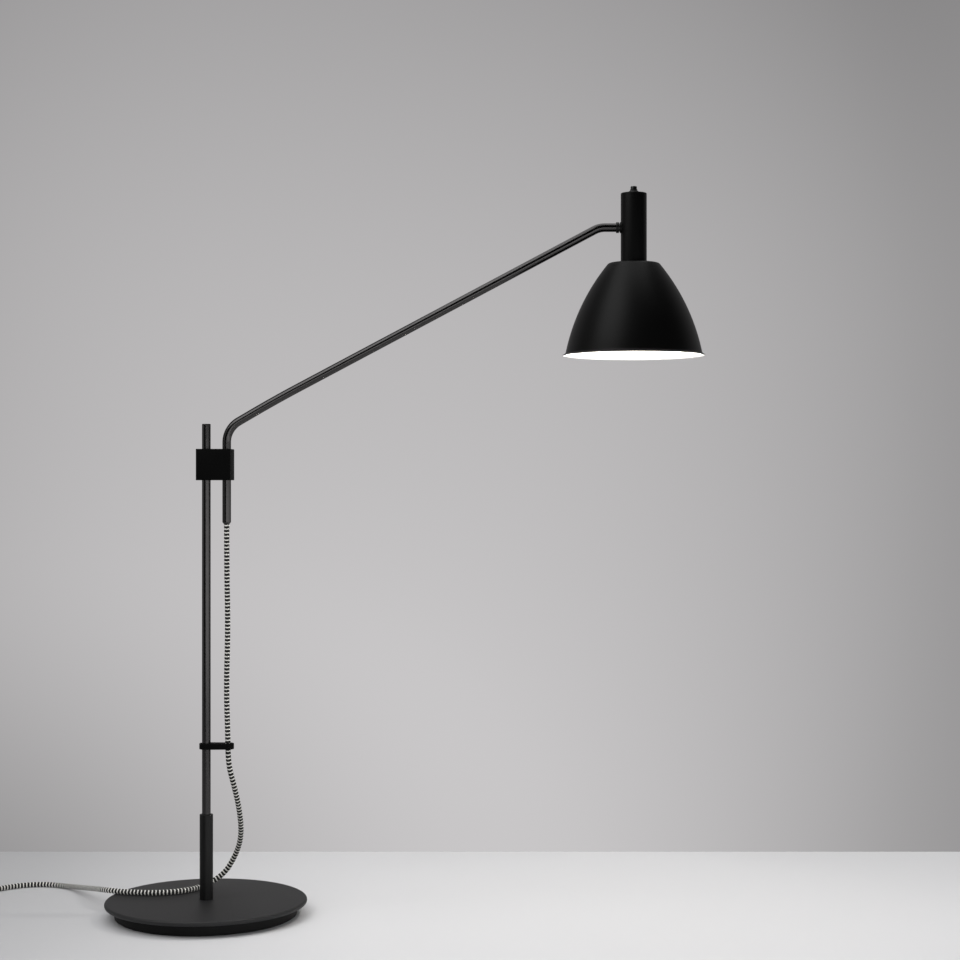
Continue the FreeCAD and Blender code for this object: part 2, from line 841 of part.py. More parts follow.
def biarc(start, start_heading, end, end_heading):
    """Two arcs that leave start and reach end along the given directions."""
    gap = end - start
    total = start_heading + end_heading
    spare = 2 * (1 - start_heading.dot(end_heading))
    reach = (math.sqrt(gap.dot(total) ** 2 + spare * gap.dot(gap)) - gap.dot(total)) / spare
    first_corner = start + start_heading * reach
    last_corner = end - end_heading * reach
    join = (first_corner + last_corner) * 0.5
    return [arc_edge(start, first_corner, join), arc_edge(join, last_corner, end)]


def coil_travel():
    return 2 * math.pi * (coil_lower_turns + coil_upper_turns) + math.pi


def coil_path():
    start, heading = coil_point(0)
    edges = [Part.LineSegment(cord_route[-1], start).toShape()]
    quarters = round(coil_travel() / (math.pi / 2))
    for index in range(quarters):
        end, end_heading = coil_point((index + 1) * coil_travel() / quarters)
        edges += biarc(start, heading, end, end_heading)
        start, heading = end, end_heading
    edges.append(Part.LineSegment(start, start + heading * cord_diameter).toShape())
    return Part.Wire(edges)


def coil_self_gap():
    """The least clear distance between two turns, measured on points."""
    count = 360
    points = [coil_point(index * coil_travel() / count)[0] for index in range(count + 1)]
    apart = int(count * math.pi / coil_travel())
    least = min(
        points[first].distanceToPoint(points[second])
        for first in range(count + 1)
        for second in range(first + apart, count + 1)
    )
    return least - cord_diameter


def tail_points():
    """From the coil's last turn down to the plug's strain relief."""
    start, heading = coil_point(coil_travel())
    start = start + heading * cord_diameter
    clear = start + heading * tail_level_run
    low = clear + heading * tail_slope_run
    low.z = plug_thickness / 2 + floor_gap
    return [start, clear, low, low + heading * tail_level_run]


def split_point():
    """On the plate, half way along the run where the hanging stretch ends and the lying one starts."""
    return (cord_route[drop_points - 1] + cord_route[drop_points]) * 0.5


def cord_stretch(name, points):
    radii = cord_radii(points)
    print(f"{name}: radii {', '.join(f'{radius:.0f}' for radius in radii)} mm")
    path = rounded_path(points, radii)
    solid = swept(path, cord_radius)
    say_tube(name, path, solid, cord_radius)
    return solid


def cord_drop():
    return cord_stretch("cord_drop", cord_route[:drop_points] + [split_point()])


def cord_lead():
    return cord_stretch("cord_lead", [split_point()] + cord_route[drop_points:])


def cord_coil():
    path = coil_path()
    solid = swept(path, cord_radius)
    say_tube("cord_coil", path, solid, cord_radius)
    print(f"cord_coil: least gap between turns {coil_self_gap():.2f} mm")
    return solid


def cord_tail():
    return cord_stretch("cord_tail", tail_points())


# ---- plug ----

def plug_frame():
    """Where the cord meets the plug's strain relief, and which way it points there."""
    points = tail_points()
    return points[-1], (points[-1] - points[-2]).normalize()


def placed(solid):
    """Moves a solid made along +X from the origin to the end of the cord."""
    start, heading = plug_frame()
    turn = math.degrees(math.atan2(heading.y, heading.x))
    solid.rotate(Vec(0, 0, 0), up, turn)
    solid.translate(start)
    return solid


def plug_relief():
    cone = Part.makeCone(relief_end_radius, relief_start_radius, relief_length, Vec(0, 0, 0), along)
    return placed(cone)


def plug_body():
    half_front = plug_front_width / 2
    half_rear = plug_rear_width / 2
    waist = relief_length + plug_length - plug_shoulder
    rear = relief_length
    front = relief_length + plug_length
    corners = [
        Vec(rear, -half_rear, 0),
        Vec(waist, -half_front, 0),
        Vec(front, -half_front, 0),
        Vec(front, half_front, 0),
        Vec(waist, half_front, 0),
        Vec(rear, half_rear, 0),
    ]
    face = Part.Face(Part.makePolygon(corners + [corners[0]]))
    body = face.extrude(up * plug_thickness)
    body.translate(up * -plug_thickness / 2)
    body = body.makeFillet(plug_edge, body.Edges)
    for place in pin_places():
        start = place - along * plug_pin_root
        body = body.cut(cylinder(plug_pin_root_diameter / 2 + screw_gap, plug_pin_root, start, along))
    return placed(body)


def pin_places():
    """Where each pin leaves the plug's front face."""
    front = relief_length + plug_length
    return [Vec(front, side * plug_pin_spacing / 2, 0) for side in (-1, 1)]


def plug_pins():
    pins = []
    for place in pin_places():
        shaft = cylinder(plug_pin_diameter / 2, plug_pin_length, place, along)
        tip_x = place.x + plug_pin_length
        tip_edges = edges_at(shaft, lambda edge: edge.BoundBox.XMin > tip_x - 1e-4)
        shaft = shaft.makeFillet(plug_pin_tip, tip_edges)
        root = cylinder(plug_pin_root_diameter / 2, plug_pin_root, place - along * plug_pin_root, along)
        pins.append(shaft.fuse(root))
    return placed(Part.makeCompound(pins))


makers = [
    base_pad, base_weight, base_plate, base_washer, base_bolt,
    post_socket, post_screw, post_tube, post_cap,
    cord_clip,
    clamp_block, brake_pads, brake_screws, post_liner, arm_liner,
    arm_tube, arm_gland, arm_lead, swivel_pin, neck_washer, swivel_spring, swivel_nut,
    swivel_seat, inner_seat, head_housing, housing_screws, lampholder, screw_shell, centre_contact,
    shade, shade_ring, bulb_glass, bulb_cap, head_wires,
    switch_body, switch_nut, switch_button,
    cord_drop, cord_lead, cord_coil, cord_tail, plug_relief, plug_body, plug_pins,
]

os.makedirs("parts", exist_ok=True)
for maker in makers:
    shape = maker()
    name = maker.__name__
    if not shape.isValid():
        print(f"{name}: not valid")
    shape.exportStep(f"parts/{name}.step")
    print(f"{name}: {len(shape.Solids)} solids, {shape.Volume:.0f} mm3")
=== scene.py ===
import json
import math

import bmesh
import bpy
from mathutils import Matrix, Vector

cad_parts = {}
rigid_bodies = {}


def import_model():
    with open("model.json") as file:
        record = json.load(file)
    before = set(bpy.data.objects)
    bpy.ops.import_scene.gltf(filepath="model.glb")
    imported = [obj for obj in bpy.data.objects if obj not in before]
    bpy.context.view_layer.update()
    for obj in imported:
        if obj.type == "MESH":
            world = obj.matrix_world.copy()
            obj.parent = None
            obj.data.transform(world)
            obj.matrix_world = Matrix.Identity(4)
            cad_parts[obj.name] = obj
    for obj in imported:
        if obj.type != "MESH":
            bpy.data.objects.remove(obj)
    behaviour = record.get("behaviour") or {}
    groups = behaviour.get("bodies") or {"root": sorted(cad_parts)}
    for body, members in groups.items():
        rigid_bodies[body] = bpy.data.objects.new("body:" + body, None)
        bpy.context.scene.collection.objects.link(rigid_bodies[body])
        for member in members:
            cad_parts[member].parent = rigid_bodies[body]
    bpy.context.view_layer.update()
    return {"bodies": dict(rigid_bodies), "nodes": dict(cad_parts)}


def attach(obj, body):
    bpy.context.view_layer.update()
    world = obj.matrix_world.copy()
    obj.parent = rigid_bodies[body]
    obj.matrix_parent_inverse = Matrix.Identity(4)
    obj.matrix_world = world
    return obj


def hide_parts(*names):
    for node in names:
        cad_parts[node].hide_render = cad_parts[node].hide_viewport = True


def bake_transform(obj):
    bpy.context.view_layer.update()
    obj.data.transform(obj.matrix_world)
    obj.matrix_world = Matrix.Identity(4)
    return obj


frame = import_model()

# Lengths in this file are millimetres, as on the drawing; makePiece turns them into metres.
mm = 0.001
headX = 493.53
armX = 23.5
print("frame loaded")


# camera and studio

cameraSetup = {"place": (316, -2194, 502.8), "lens": 71.25, "sensor": 36, "clipEnd": 50}
# the board is pale and falls off to a darker grey on the left: painted shade where the studio light falls off
tableSetup = {
    "left": -1500, "right": 1400, "front": -1300, "back": 376,
    "dark": "#AEAEB0", "pale": "#DADADC", "paintedShadeFrom": -420, "paintedShadeTo": 200, "cloud": 250,
}


# several sizes of one dictionary at once
def take(setup, *keys):
    return [setup[key] for key in keys]


def toLinear(hexColour):
    channels = [int(hexColour[i:i + 2], 16) / 255 for i in (1, 3, 5)]
    return [c / 12.92 if c <= 0.04045 else ((c + 0.055) / 1.055) ** 2.4 for c in channels] + [1.0]


# puts new data into the scene as an object
def addObject(name, data):
    made = bpy.data.objects.new(name, data)
    bpy.context.scene.collection.objects.link(made)
    return made


# adds a shader node with its inputs and settings, and gives its outputs
def addNode(tree, kind, inputs, **settings):
    node = tree.nodes.new("ShaderNode" + kind)
    for name, value in settings.items():
        setattr(node, name, value)
    for name, value in inputs.items():
        if isinstance(value, bpy.types.NodeSocket):
            tree.links.new(value, node.inputs[name])
        else:
            node.inputs[name].default_value = value
    return node.outputs


def startMaterial(name):
    material = bpy.data.materials.new(name)
    material.use_nodes = True
    tree = material.node_tree
    shader = tree.nodes["Principled BSDF"]
    return material, tree, shader, addNode(tree, "TexCoord", {})["Object"]


def makeCamera():
    camera = addObject("camera", bpy.data.cameras.new("camera"))
    camera.data.lens = cameraSetup["lens"]
    camera.data.sensor_width = cameraSetup["sensor"]
    camera.data.clip_end = cameraSetup["clipEnd"]
    camera.location = Vector(cameraSetup["place"]) * mm
    camera.rotation_euler = (math.radians(90), 0, 0)
    bpy.context.scene.camera = camera


def softLight(name, place, aim, size, power):
    data = bpy.data.lights.new(name, "AREA")
    data.shape = "RECTANGLE"
    data.size, data.size_y = size[0] * mm, size[1] * mm
    data.energy = power
    light = addObject(name, data)
    light.location = Vector(place) * mm
    light.rotation_euler = (Vector(aim) - Vector(place)).to_track_quat("-Z", "Y").to_euler()


# The wall behind the lamp is pale, with a painted pool of light low in the middle and painted shade in its
# darker corners.
# Each patch of painted light or shade has its place and its reach as slopes from the camera's level line,
# then its strength.
# Gloss sees the wall behind, and a dark studio in front.
wallSetup = {
    "base": 0.31, "tint": (1.0, 0.978, 0.989), "ambient": 0.25, "studio": "#0A0A0A",
    "paintedLightAndShade": [((-0.062, -0.088), (0.355, 0.686), 0.523), ((-0.061, -0.001), (0.288, 0.473), -0.283),
              ((0.019, 0.379), (0.624, 0.327), -0.117), ((-0.222, -0.268), (0.305, 0.236), -0.225)],
}


bulbGlow = {"power": 5.0, "colour": "#FFFCF6", "spread": 165, "blend": 0.4, "size": 20, "z": 686}


def bulbLight():
    data = bpy.data.lights.new("bulbLight", "SPOT")
    data.energy = bulbGlow["power"]
    data.color = toLinear(bulbGlow["colour"])[:3]
    data.spot_size = math.radians(bulbGlow["spread"])
    data.spot_blend = bulbGlow["blend"]
    data.shadow_soft_size = bulbGlow["size"] * mm
    light = addObject("bulbLight", data)
    light.location = Vector((headX, 0, bulbGlow["z"])) * mm
    light.parent = frame["bodies"]["head"]      # it turns with the head


def makeWorld():
    world = bpy.data.worlds.new("studio")
    bpy.context.scene.world = world
    world.use_nodes = True
    tree = world.node_tree
    tree.nodes.clear()
    rays = addNode(tree, "LightPath", {})
    sides = addNode(tree, "SeparateXYZ", {0: addNode(tree, "TexCoord", {})["Generated"]})
    ahead = addNode(tree, "MapRange", {0: sides[1], 2: 0.5}, interpolation_type="SMOOTHSTEP")[0]
    depth = addNode(tree, "Math", {0: sides[1], 1: 0.01}, operation="MAXIMUM")[0]
    across = addNode(tree, "Math", {0: sides[0], 1: depth}, operation="DIVIDE")[0]
    upward = addNode(tree, "Math", {0: sides[2], 1: depth}, operation="DIVIDE")[0]
    slopes = addNode(tree, "CombineXYZ", {0: across, 1: upward})[0]
    level = wallSetup["base"]
    # painted light and painted shade on the wall: a positive strength lightens, a negative one darkens
    for centre, reach, strength in wallSetup["paintedLightAndShade"]:
        spot = addNode(tree, "VectorMath", {0: slopes, 1: (*centre, 0)}, operation="SUBTRACT")[0]
        spot = addNode(tree, "VectorMath", {0: spot, 1: (*reach, 1)}, operation="DIVIDE")[0]
        away = addNode(tree, "VectorMath", {0: spot}, operation="LENGTH")["Value"]
        glow = addNode(tree, "MapRange", {0: away, 3: strength, 4: 0.0}, interpolation_type="SMOOTHSTEP")[0]
        glow = addNode(tree, "Math", {0: glow, 1: ahead}, operation="MULTIPLY")[0]
        level = addNode(tree, "Math", {0: level, 1: glow}, operation="ADD")[0]
    wall = addNode(tree, "VectorMath", {0: wallSetup["tint"], "Scale": level}, operation="SCALE")[0]
    room = addNode(tree, "Mix", {0: ahead, 6: toLinear(wallSetup["studio"]), 7: wall}, data_type="RGBA")[2]
    shine = addNode(tree, "Mix", {0: rays["Is Glossy Ray"], 6: wall, 7: room}, data_type="RGBA")[2]
    seen = addNode(tree, "Math", {0: rays["Is Camera Ray"], 1: rays["Is Transmission Ray"]},
                   operation="MAXIMUM")[0]
    seen = addNode(tree, "Math", {0: seen, 1: rays["Is Glossy Ray"]}, operation="MAXIMUM")[0]
    glow = addNode(tree, "Background", {"Color": toLinear("#FFFFFF"), "Strength": wallSetup["ambient"]})[0]
    view = addNode(tree, "Background", {"Color": shine})[0]
    both = addNode(tree, "MixShader", {0: seen, 1: glow, 2: view})[0]
    addNode(tree, "OutputWorld", {"Surface": both})


# painted board of the table, paler to the right with painted shade to the left where the studio light falls
# off, its dullness a little uneven
def tableBoard():
    material, tree, shader, coords = startMaterial("paintedTableBoard")
    across = addNode(tree, "SeparateXYZ", {0: coords})[0]
    left, right = tableSetup["paintedShadeFrom"] * mm, tableSetup["paintedShadeTo"] * mm
    # painted shade: the board's colour darkens towards the left, where the studio light falls off
    paintedShade = addNode(tree, "MapRange", {0: across, 1: left, 2: right}, interpolation_type="SMOOTHSTEP")[0]
    tint = addNode(tree, "Mix", {0: paintedShade, 6: toLinear(tableSetup["dark"]), 7: toLinear(tableSetup["pale"])},
                   data_type="RGBA")[2]
    scale = 1 / (tableSetup["cloud"] * mm)
    cloud = addNode(tree, "TexNoise", {"Vector": coords, "Scale": scale, "Detail": 3.0})[0]
    matt = addNode(tree, "MapRange", {0: cloud, 1: 0.3, 2: 0.7, 3: 0.7, 4: 0.8})[0]
    tree.links.new(tint, shader.inputs["Base Color"])
    tree.links.new(matt, shader.inputs["Roughness"])
    return material


def makeTable():
    bm = bmesh.new()
    bmesh.ops.create_grid(bm, x_segments=1, y_segments=1, size=0.5)
    left, right, front, back = take(tableSetup, "left", "right", "front", "back")
    bmesh.ops.scale(bm, verts=bm.verts, vec=(right - left, back - front, 1))
    bmesh.ops.translate(bm, verts=bm.verts, vec=((right + left) / 2, (back + front) / 2, 0))
    table = makeObject(bm, "table", tableBoard())


# turns a finished bmesh in millimetres into an object in metres
def makeObject(bm, name, *materials):
    bmesh.ops.remove_doubles(bm, verts=bm.verts, dist=0.0005)
    bmesh.ops.scale(bm, verts=bm.verts, vec=(mm, mm, mm))
    mesh = bpy.data.meshes.new(name)
    bm.to_mesh(mesh)
    bm.free()
    piece = addObject(name, mesh)
    for material in materials:
        mesh.materials.append(material)
    return piece


def smoothPiece(piece, sharpAbove=32):
    piece.data.shade_smooth()
    piece.data.set_sharp_from_angle(angle=math.radians(sharpAbove))


def dress(piece, body, nodes):
    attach(piece, body)
    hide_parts(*nodes)


def makePiece(bm, name, material, body, slot, *nodes):
    piece = makeObject(bm, name, material)
    smoothPiece(piece)
    dress(piece, body, nodes)
    return piece


# shapes

# outline of a plain ring, or of a disc where inner is 0
def ringProfile(inner, outer, low, high):
    return [(inner, low), (outer, low), (outer, high), (inner, high)]


def lathe(profile, steps=96, closed=True):
    bm = bmesh.new()
    verts = [bm.verts.new((radius, 0, z)) for radius, z in profile]
    edges = [bm.edges.new(pair) for pair in zip(verts, verts[1:])]
    if closed:
        edges.append(bm.edges.new((verts[-1], verts[0])))
    spinRound(bm, steps)
    return bm


def spinRound(bm, steps):
    bmesh.ops.spin(bm, geom=bm.verts[:] + bm.edges[:], cent=(0, 0, 0), axis=(0, 0, 1),
                   angle=math.tau, steps=steps, use_merge=True)
    bmesh.ops.remove_doubles(bm, verts=bm.verts, dist=0.0005)
    bmesh.ops.recalc_face_normals(bm, faces=bm.faces)


def onlyVerts(geom):
    return [item for item in geom if isinstance(item, bmesh.types.BMVert)]


# the far ring of an extrusion: its corners and the edges between them
def farRing(made):
    verts = onlyVerts(made)
    return verts, [item for item in made if isinstance(item, bmesh.types.BMEdge)
                   and item.verts[0] in verts and item.verts[1] in verts]


# the edges that meet these corners, each once and in order
def edgesOf(verts):
    return list(dict.fromkeys(edge for vert in verts for edge in vert.link_edges))


def riseOf(edge):
    return abs(edge.verts[0].co.z - edge.verts[1].co.z)


def rimEdges(bm, radius, z):
    def onRim(vert):
        return abs(vert.co.xy.length - radius) < 0.01 and abs(vert.co.z - z) < 0.01
    return [edge for edge in bm.edges if onRim(edge.verts[0]) and onRim(edge.verts[1])]


def bevelEdges(bm, edges, offset, segments):
    bmesh.ops.bevel(bm, geom=edges, offset=offset, segments=segments, profile=0.5,
                    affect="EDGES", material=-1, clamp_overlap=False)


def bevelRim(bm, radius, z, offset, segments=4):
    bevelEdges(bm, rimEdges(bm, radius, z), offset, segments)


def turnBy(bm, matrix):
    bmesh.ops.transform(bm, matrix=matrix, verts=bm.verts)


def move(bm, place, turn=None):
    if turn:
        turnBy(bm, turn)
    bmesh.ops.translate(bm, verts=bm.verts, vec=place)


alongX = Matrix.Rotation(math.radians(90), 4, "Y")     # stands a lathed shape's axis along +X
alongY = Matrix.Rotation(math.radians(-90), 4, "X")    # and along +Y


def addRod(bm, radius, length, place, turn=None, sides=48):
    matrix = Matrix.Translation(place) @ (turn or Matrix.Identity(4)) @ Matrix.Translation((0, 0, length / 2))
    return bmesh.ops.create_cone(bm, cap_ends=True, segments=sides, radius1=radius, radius2=radius,
                                 depth=length, matrix=matrix)["verts"]


# cuts one bmesh's shape out of a piece
def cutAway(piece, bm):
    cutter = makeObject(bm, "cutter")
    modifier = piece.modifiers.new("cut", "BOOLEAN")
    modifier.object = cutter
    modifier.solver = "EXACT"
    graph = bpy.context.evaluated_depsgraph_get()
    cut = bpy.data.meshes.new_from_object(piece.evaluated_get(graph))
    piece.modifiers.clear()
    piece.data = cut
    cut.name = piece.name
    bpy.data.objects.remove(cutter)
    smoothPiece(piece)


# headless set screw with a hexagon socket, its face at z = 0 and its body below
def setScrew(radius, length, keyWidth):
    bm = bmesh.new()
    addRod(bm, radius, length, (0, 0, -length), sides=36)
    bevelRim(bm, radius, 0, radius * 0.12, 2)
    top = max(bm.faces, key=lambda face: face.calc_center_median().z)
    bmesh.ops.inset_region(bm, faces=[top], thickness=radius * 0.2)
    socket = bmesh.new()
    addRod(socket, keyWidth / 2 / math.cos(math.radians(30)), length * 0.6, (0, 0, -length * 0.5), sides=6)
    return bm, socket


# a set screw as a piece of its own
def addScrew(name, sizes, place, turn, body):
    screw, key = setScrew(*sizes)
    for part in (screw, key):
        move(part, place, turn)
    piece = makeObject(screw, name, blackOxide)
    cutAway(piece, key)
    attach(piece, body)
    return piece


# finishes

def paintFinish(name, look):
    material, tree, shader, coords = startMaterial(name)
    fine, broad = 1 / (look["grain"] * mm), 1 / (look["cloud"] * mm)
    grain = addNode(tree, "TexNoise", {"Vector": coords, "Scale": fine, "Roughness": 0.6})[0]
    cloud = addNode(tree, "TexNoise", {"Vector": coords, "Scale": broad, "Detail": 3.0})[0]
    tint = addNode(tree, "Mix", {0: cloud, 6: toLinear(look["dark"]), 7: toLinear(look["light"])},
                   data_type="RGBA")[2]
    dull, duller = look["roughness"]
    gloss = addNode(tree, "MapRange", {0: grain, 1: 0.3, 2: 0.7, 3: dull, 4: duller})[0]
    bump = addNode(tree, "Bump", {"Height": grain, "Strength": look["bump"], "Distance": 0.1 * mm})[0]
    tree.links.new(tint, shader.inputs["Base Color"])
    tree.links.new(gloss, shader.inputs["Roughness"])
    tree.links.new(bump, shader.inputs["Normal"])
    shader.inputs["Metallic"].default_value = look.get("metallic", 0)
    if "ior" in look:
        shader.inputs["IOR"].default_value = look["ior"]
    return material


# steel plate under a sprayed textured powder coat: dull, a fine even pebble in the light
powderCoat = paintFinish("powderCoatedSteelPlate", {
    "dark": "#1A1A1B", "light": "#1D1D1E", "roughness": (0.46, 0.6), "cloud": 45, "grain": 0.9,
    "bump": 0.25, "ior": 1.4})
# cast iron disc, blacked: coarse skin, hardly any shine
castIron = paintFinish("blackedCastIron", {
    "dark": "#070707", "light": "#0B0B0B", "roughness": (0.6, 0.8), "cloud": 14, "grain": 1.2,
    "bump": 0.6, "ior": 1.3})
# moulded rubber sheet: flat black
moulded = paintFinish("mouldedRubberSheet", {
    "dark": "#040404", "light": "#070707", "roughness": (0.75, 0.9), "cloud": 20, "grain": 1.0,
    "bump": 0.3, "ior": 1.52})
# turned steel, black nickelled: near black with a small shine at the edges
blackNickel = paintFinish("blackNickelledSocket", {
    "dark": "#080808", "light": "#0C0C0C", "roughness": (0.36, 0.46), "cloud": 12, "grain": 0.8,
    "bump": 0.12, "ior": 1.3})
# drawn steel tube, satin graphite plated: a soft metal sheen along its length
graphiteTube = paintFinish("graphitePlatedTube", {
    "dark": "#3E3D3D", "light": "#434242", "roughness": (0.18, 0.22), "cloud": 25, "grain": 3.0,
    "bump": 0.01, "metallic": 1.0})
# milled aluminium, black anodised: dry black, edges a little lighter
blackAnodised = paintFinish("blackAnodisedBlock", {
    "dark": "#040404", "light": "#070707", "roughness": (0.6, 0.7), "cloud": 15, "grain": 0.8,
    "bump": 0.08, "ior": 1.15})
# spun aluminium under a matt black spray: deep black with a broad soft light
mattBlack = paintFinish("mattSprayedShade", {
    "dark": "#020202", "light": "#050505", "roughness": (0.38, 0.44), "cloud": 40, "grain": 0.9,
    "bump": 0.12, "ior": 1.22})
# white stove enamel inside the shade: bright and even
whiteEnamel = paintFinish("whiteEnamelLining", {
    "dark": "#ECEBE8", "light": "#F4F3F0", "roughness": (0.4, 0.5), "cloud": 40, "grain": 1.0,
    "bump": 0.05, "ior": 1.5})
# bright zinc on machined steel: a cool grey shine
zincSteel = paintFinish("zincPlatedSteel", {
    "dark": "#8F9295", "light": "#A3A6A8", "roughness": (0.28, 0.4), "cloud": 6, "grain": 0.8,
    "bump": 0.1, "metallic": 1.0})
# black oxide on small screws: dark grey metal
blackOxide = paintFinish("blackOxideScrew", {
    "dark": "#2A2A2B", "light": "#333334", "roughness": (0.35, 0.5), "cloud": 5, "grain": 0.7,
    "bump": 0.15, "metallic": 1.0})
# turned nylon of the liners and washers: a dull near black
nylon = paintFinish("turnedNylon", {
    "dark": "#1A1A1A", "light": "#202020", "roughness": (0.45, 0.55), "cloud": 10, "grain": 0.8,
    "bump": 0.1, "ior": 1.53})
# moulded phenolic of the lamp holder: black with a soft gloss
phenolic = paintFinish("mouldedPhenolic", {
    "dark": "#101010", "light": "#161615", "roughness": (0.3, 0.4), "cloud": 14, "grain": 0.9,
    "bump": 0.08, "ior": 1.6})
# rolled brass of the holder's shell and contact: a warm yellow shine
brass = paintFinish("rolledBrass", {
    "dark": "#B08D45", "light": "#C4A257", "roughness": (0.28, 0.4), "cloud": 8, "grain": 0.8,
    "bump": 0.08, "metallic": 1.0})
# bright nickel of plug pins and bulb cap: a clear, faintly warm shine
nickel = paintFinish("brightNickel", {
    "dark": "#B4B2AC", "light": "#C2C0BA", "roughness": (0.18, 0.28), "cloud": 6, "grain": 0.7,
    "bump": 0.05, "metallic": 1.0})
# moulded nylon of the knob: the glossiest black here
knobPlastic = paintFinish("mouldedNylonKnob", {
    "dark": "#050505", "light": "#080808", "roughness": (0.25, 0.34), "cloud": 6, "grain": 0.7,
    "bump": 0.06, "ior": 1.53})
# moulded PVC of the plug and its strain relief: a dull charcoal
plugPvc = paintFinish("mouldedBlackPvc", {
    "dark": "#131314", "light": "#191919", "roughness": (0.42, 0.54), "cloud": 9, "grain": 0.8,
    "bump": 0.15, "ior": 1.52})


# opal glass of a lit bulb: a white skin that glows evenly
def opalBulb():
    material, tree, shader, coords = startMaterial("opalGlassLit")
    haze = addNode(tree, "TexNoise", {"Vector": coords, "Scale": 60.0, "Detail": 1.0})[0]
    tint = addNode(tree, "Mix", {0: haze, 6: toLinear("#FFF3E2"), 7: toLinear("#FFF8EE")},
                   data_type="RGBA")[2]
    tree.links.new(tint, shader.inputs["Base Color"])
    tree.links.new(tint, shader.inputs["Emission Color"])
    shader.inputs["Emission Strength"].default_value = 6.0
    shader.inputs["Roughness"].default_value = 0.25
    return material


# cotton braid over the cord: black and white threads in zigzag rings, which read as a fine salt and
# pepper; the real rings are 2.7 mm apart and are drawn at 4.2 mm so that they show at this distance
braidLook = {
    "ring": 4.2, "zigzag": 0.4, "points": 4, "black": "#080809", "white": "#E4E3DD",
    "fuzz": 0.16, "fuzzSize": 0.8, "whiteFrom": 0.39, "whiteTo": 0.46, "threads": 3.0, "threadDepth": 0.25,
}


def cottonBraid():
    material, tree, shader, coords = startMaterial("cottonBraid")
    uv = addNode(tree, "UVMap", {}, uv_map="braid")[0]
    along, around, _ = addNode(tree, "SeparateXYZ", {0: uv})      # metres along, turns around
    zigzag = addNode(tree, "Math", {0: around, 1: braidLook["points"]}, operation="MULTIPLY")[0]
    zigzag = addNode(tree, "Math", {0: zigzag, 1: 0.5}, operation="PINGPONG")[0]
    zigzag = addNode(tree, "Math", {0: zigzag, 1: 2 * braidLook["zigzag"] * mm}, operation="MULTIPLY")[0]
    shifted = addNode(tree, "Math", {0: along, 1: zigzag}, operation="ADD")[0]
    rings = addNode(tree, "Math", {0: shifted, 1: 1 / (braidLook["ring"] * mm)}, operation="MULTIPLY")[0]
    wave = addNode(tree, "Math", {0: rings, 1: 0.5}, operation="PINGPONG")[0]
    scale = 1 / (braidLook["fuzzSize"] * mm)
    fuzz = addNode(tree, "TexNoise", {"Vector": coords, "Scale": scale, "Detail": 3.0})[0]
    fuzzy = addNode(tree, "Math", {0: fuzz, 1: braidLook["fuzz"], 2: wave}, operation="MULTIPLY_ADD")[0]
    edge = addNode(tree, "MapRange", {0: fuzzy, 1: braidLook["whiteFrom"], 2: braidLook["whiteTo"]},
                   interpolation_type="SMOOTHSTEP")[0]
    tint = addNode(tree, "Mix", {0: edge, 6: toLinear(braidLook["black"]), 7: toLinear(braidLook["white"])},
                   data_type="RGBA")[2]
    thread = addNode(tree, "Math", {0: rings, 1: braidLook["threads"]}, operation="MULTIPLY")[0]
    thread = addNode(tree, "Math", {0: thread, 1: 0.5}, operation="PINGPONG")[0]
    depth = braidLook["threadDepth"] * mm
    bump = addNode(tree, "Bump", {"Height": thread, "Strength": 0.5, "Distance": depth})[0]
    tree.links.new(tint, shader.inputs["Base Color"])
    tree.links.new(bump, shader.inputs["Normal"])
    shader.inputs["Roughness"].default_value = 0.85
    shader.inputs["Sheen Weight"].default_value = 0.25
    shader.inputs["Sheen Roughness"].default_value = 0.4
    return material


braid = cottonBraid()
print("finishes made")


# cord: from the arm's foot past the clip, over the base and along the table to its plug

cordSetup = {
    "diameter": 6.2, "sides": 20, "coilRadius": 43.5, "coilGap": 0.6, "lowerTurns": 2.0, "upperTurns": 1.5,
    "pointsPerTurn": 16, "tailLevel": 18.0, "tailSlope": 22.0, "tailHeight": 6.8,
}
cordRoute = [
    (23.5, 0, 452.2), (23.5, 0, 402), (25, 0, 334), (23, 0, 262), (24.8, 0, 208),
    (25.3, 0.5, 174), (31.3, 9, 147), (35.7, 25, 115), (35.2, 44, 82), (25.5, 59, 56),
    (11, 63, 33.5), (-11.5, 54, 22.15), (-27, 31, 22.15), (-55, 17, 22.15), (-96, 21.5, 22.15),
    (-124.5, 34.5, 22.15), (-141.5, 67, 16.5), (-162.5, 106.5, 9), (-189, 142.5, 3.15),
    (-224.5, 156.5, 3.15), (-257, 145, 3.15), (-286, 113, 3.15),
]
cordJoins = [360, 285, 60]      # heights where the hanging cord's pieces meet


# radius and height of the coil after turning through travel radians
def coilState(travel):
    pitch = cordSetup["diameter"] + cordSetup["coilGap"]
    rate = pitch / math.tau
    lower = math.tau * cordSetup["lowerTurns"]
    inner = cordSetup["coilRadius"] - rate * lower
    if travel <= lower:
        return cordSetup["coilRadius"] - rate * travel, 0.0
    if travel >= lower + math.pi:
        return inner + rate * (travel - lower - math.pi), pitch
    part = (travel - lower) / math.pi
    return inner - rate * math.pi * part * (1 - part), pitch * part * part * (3 - 2 * part)


def polar(angle, radius, z=0.0):
    return Vector((math.cos(angle) * radius, math.sin(angle) * radius, z))


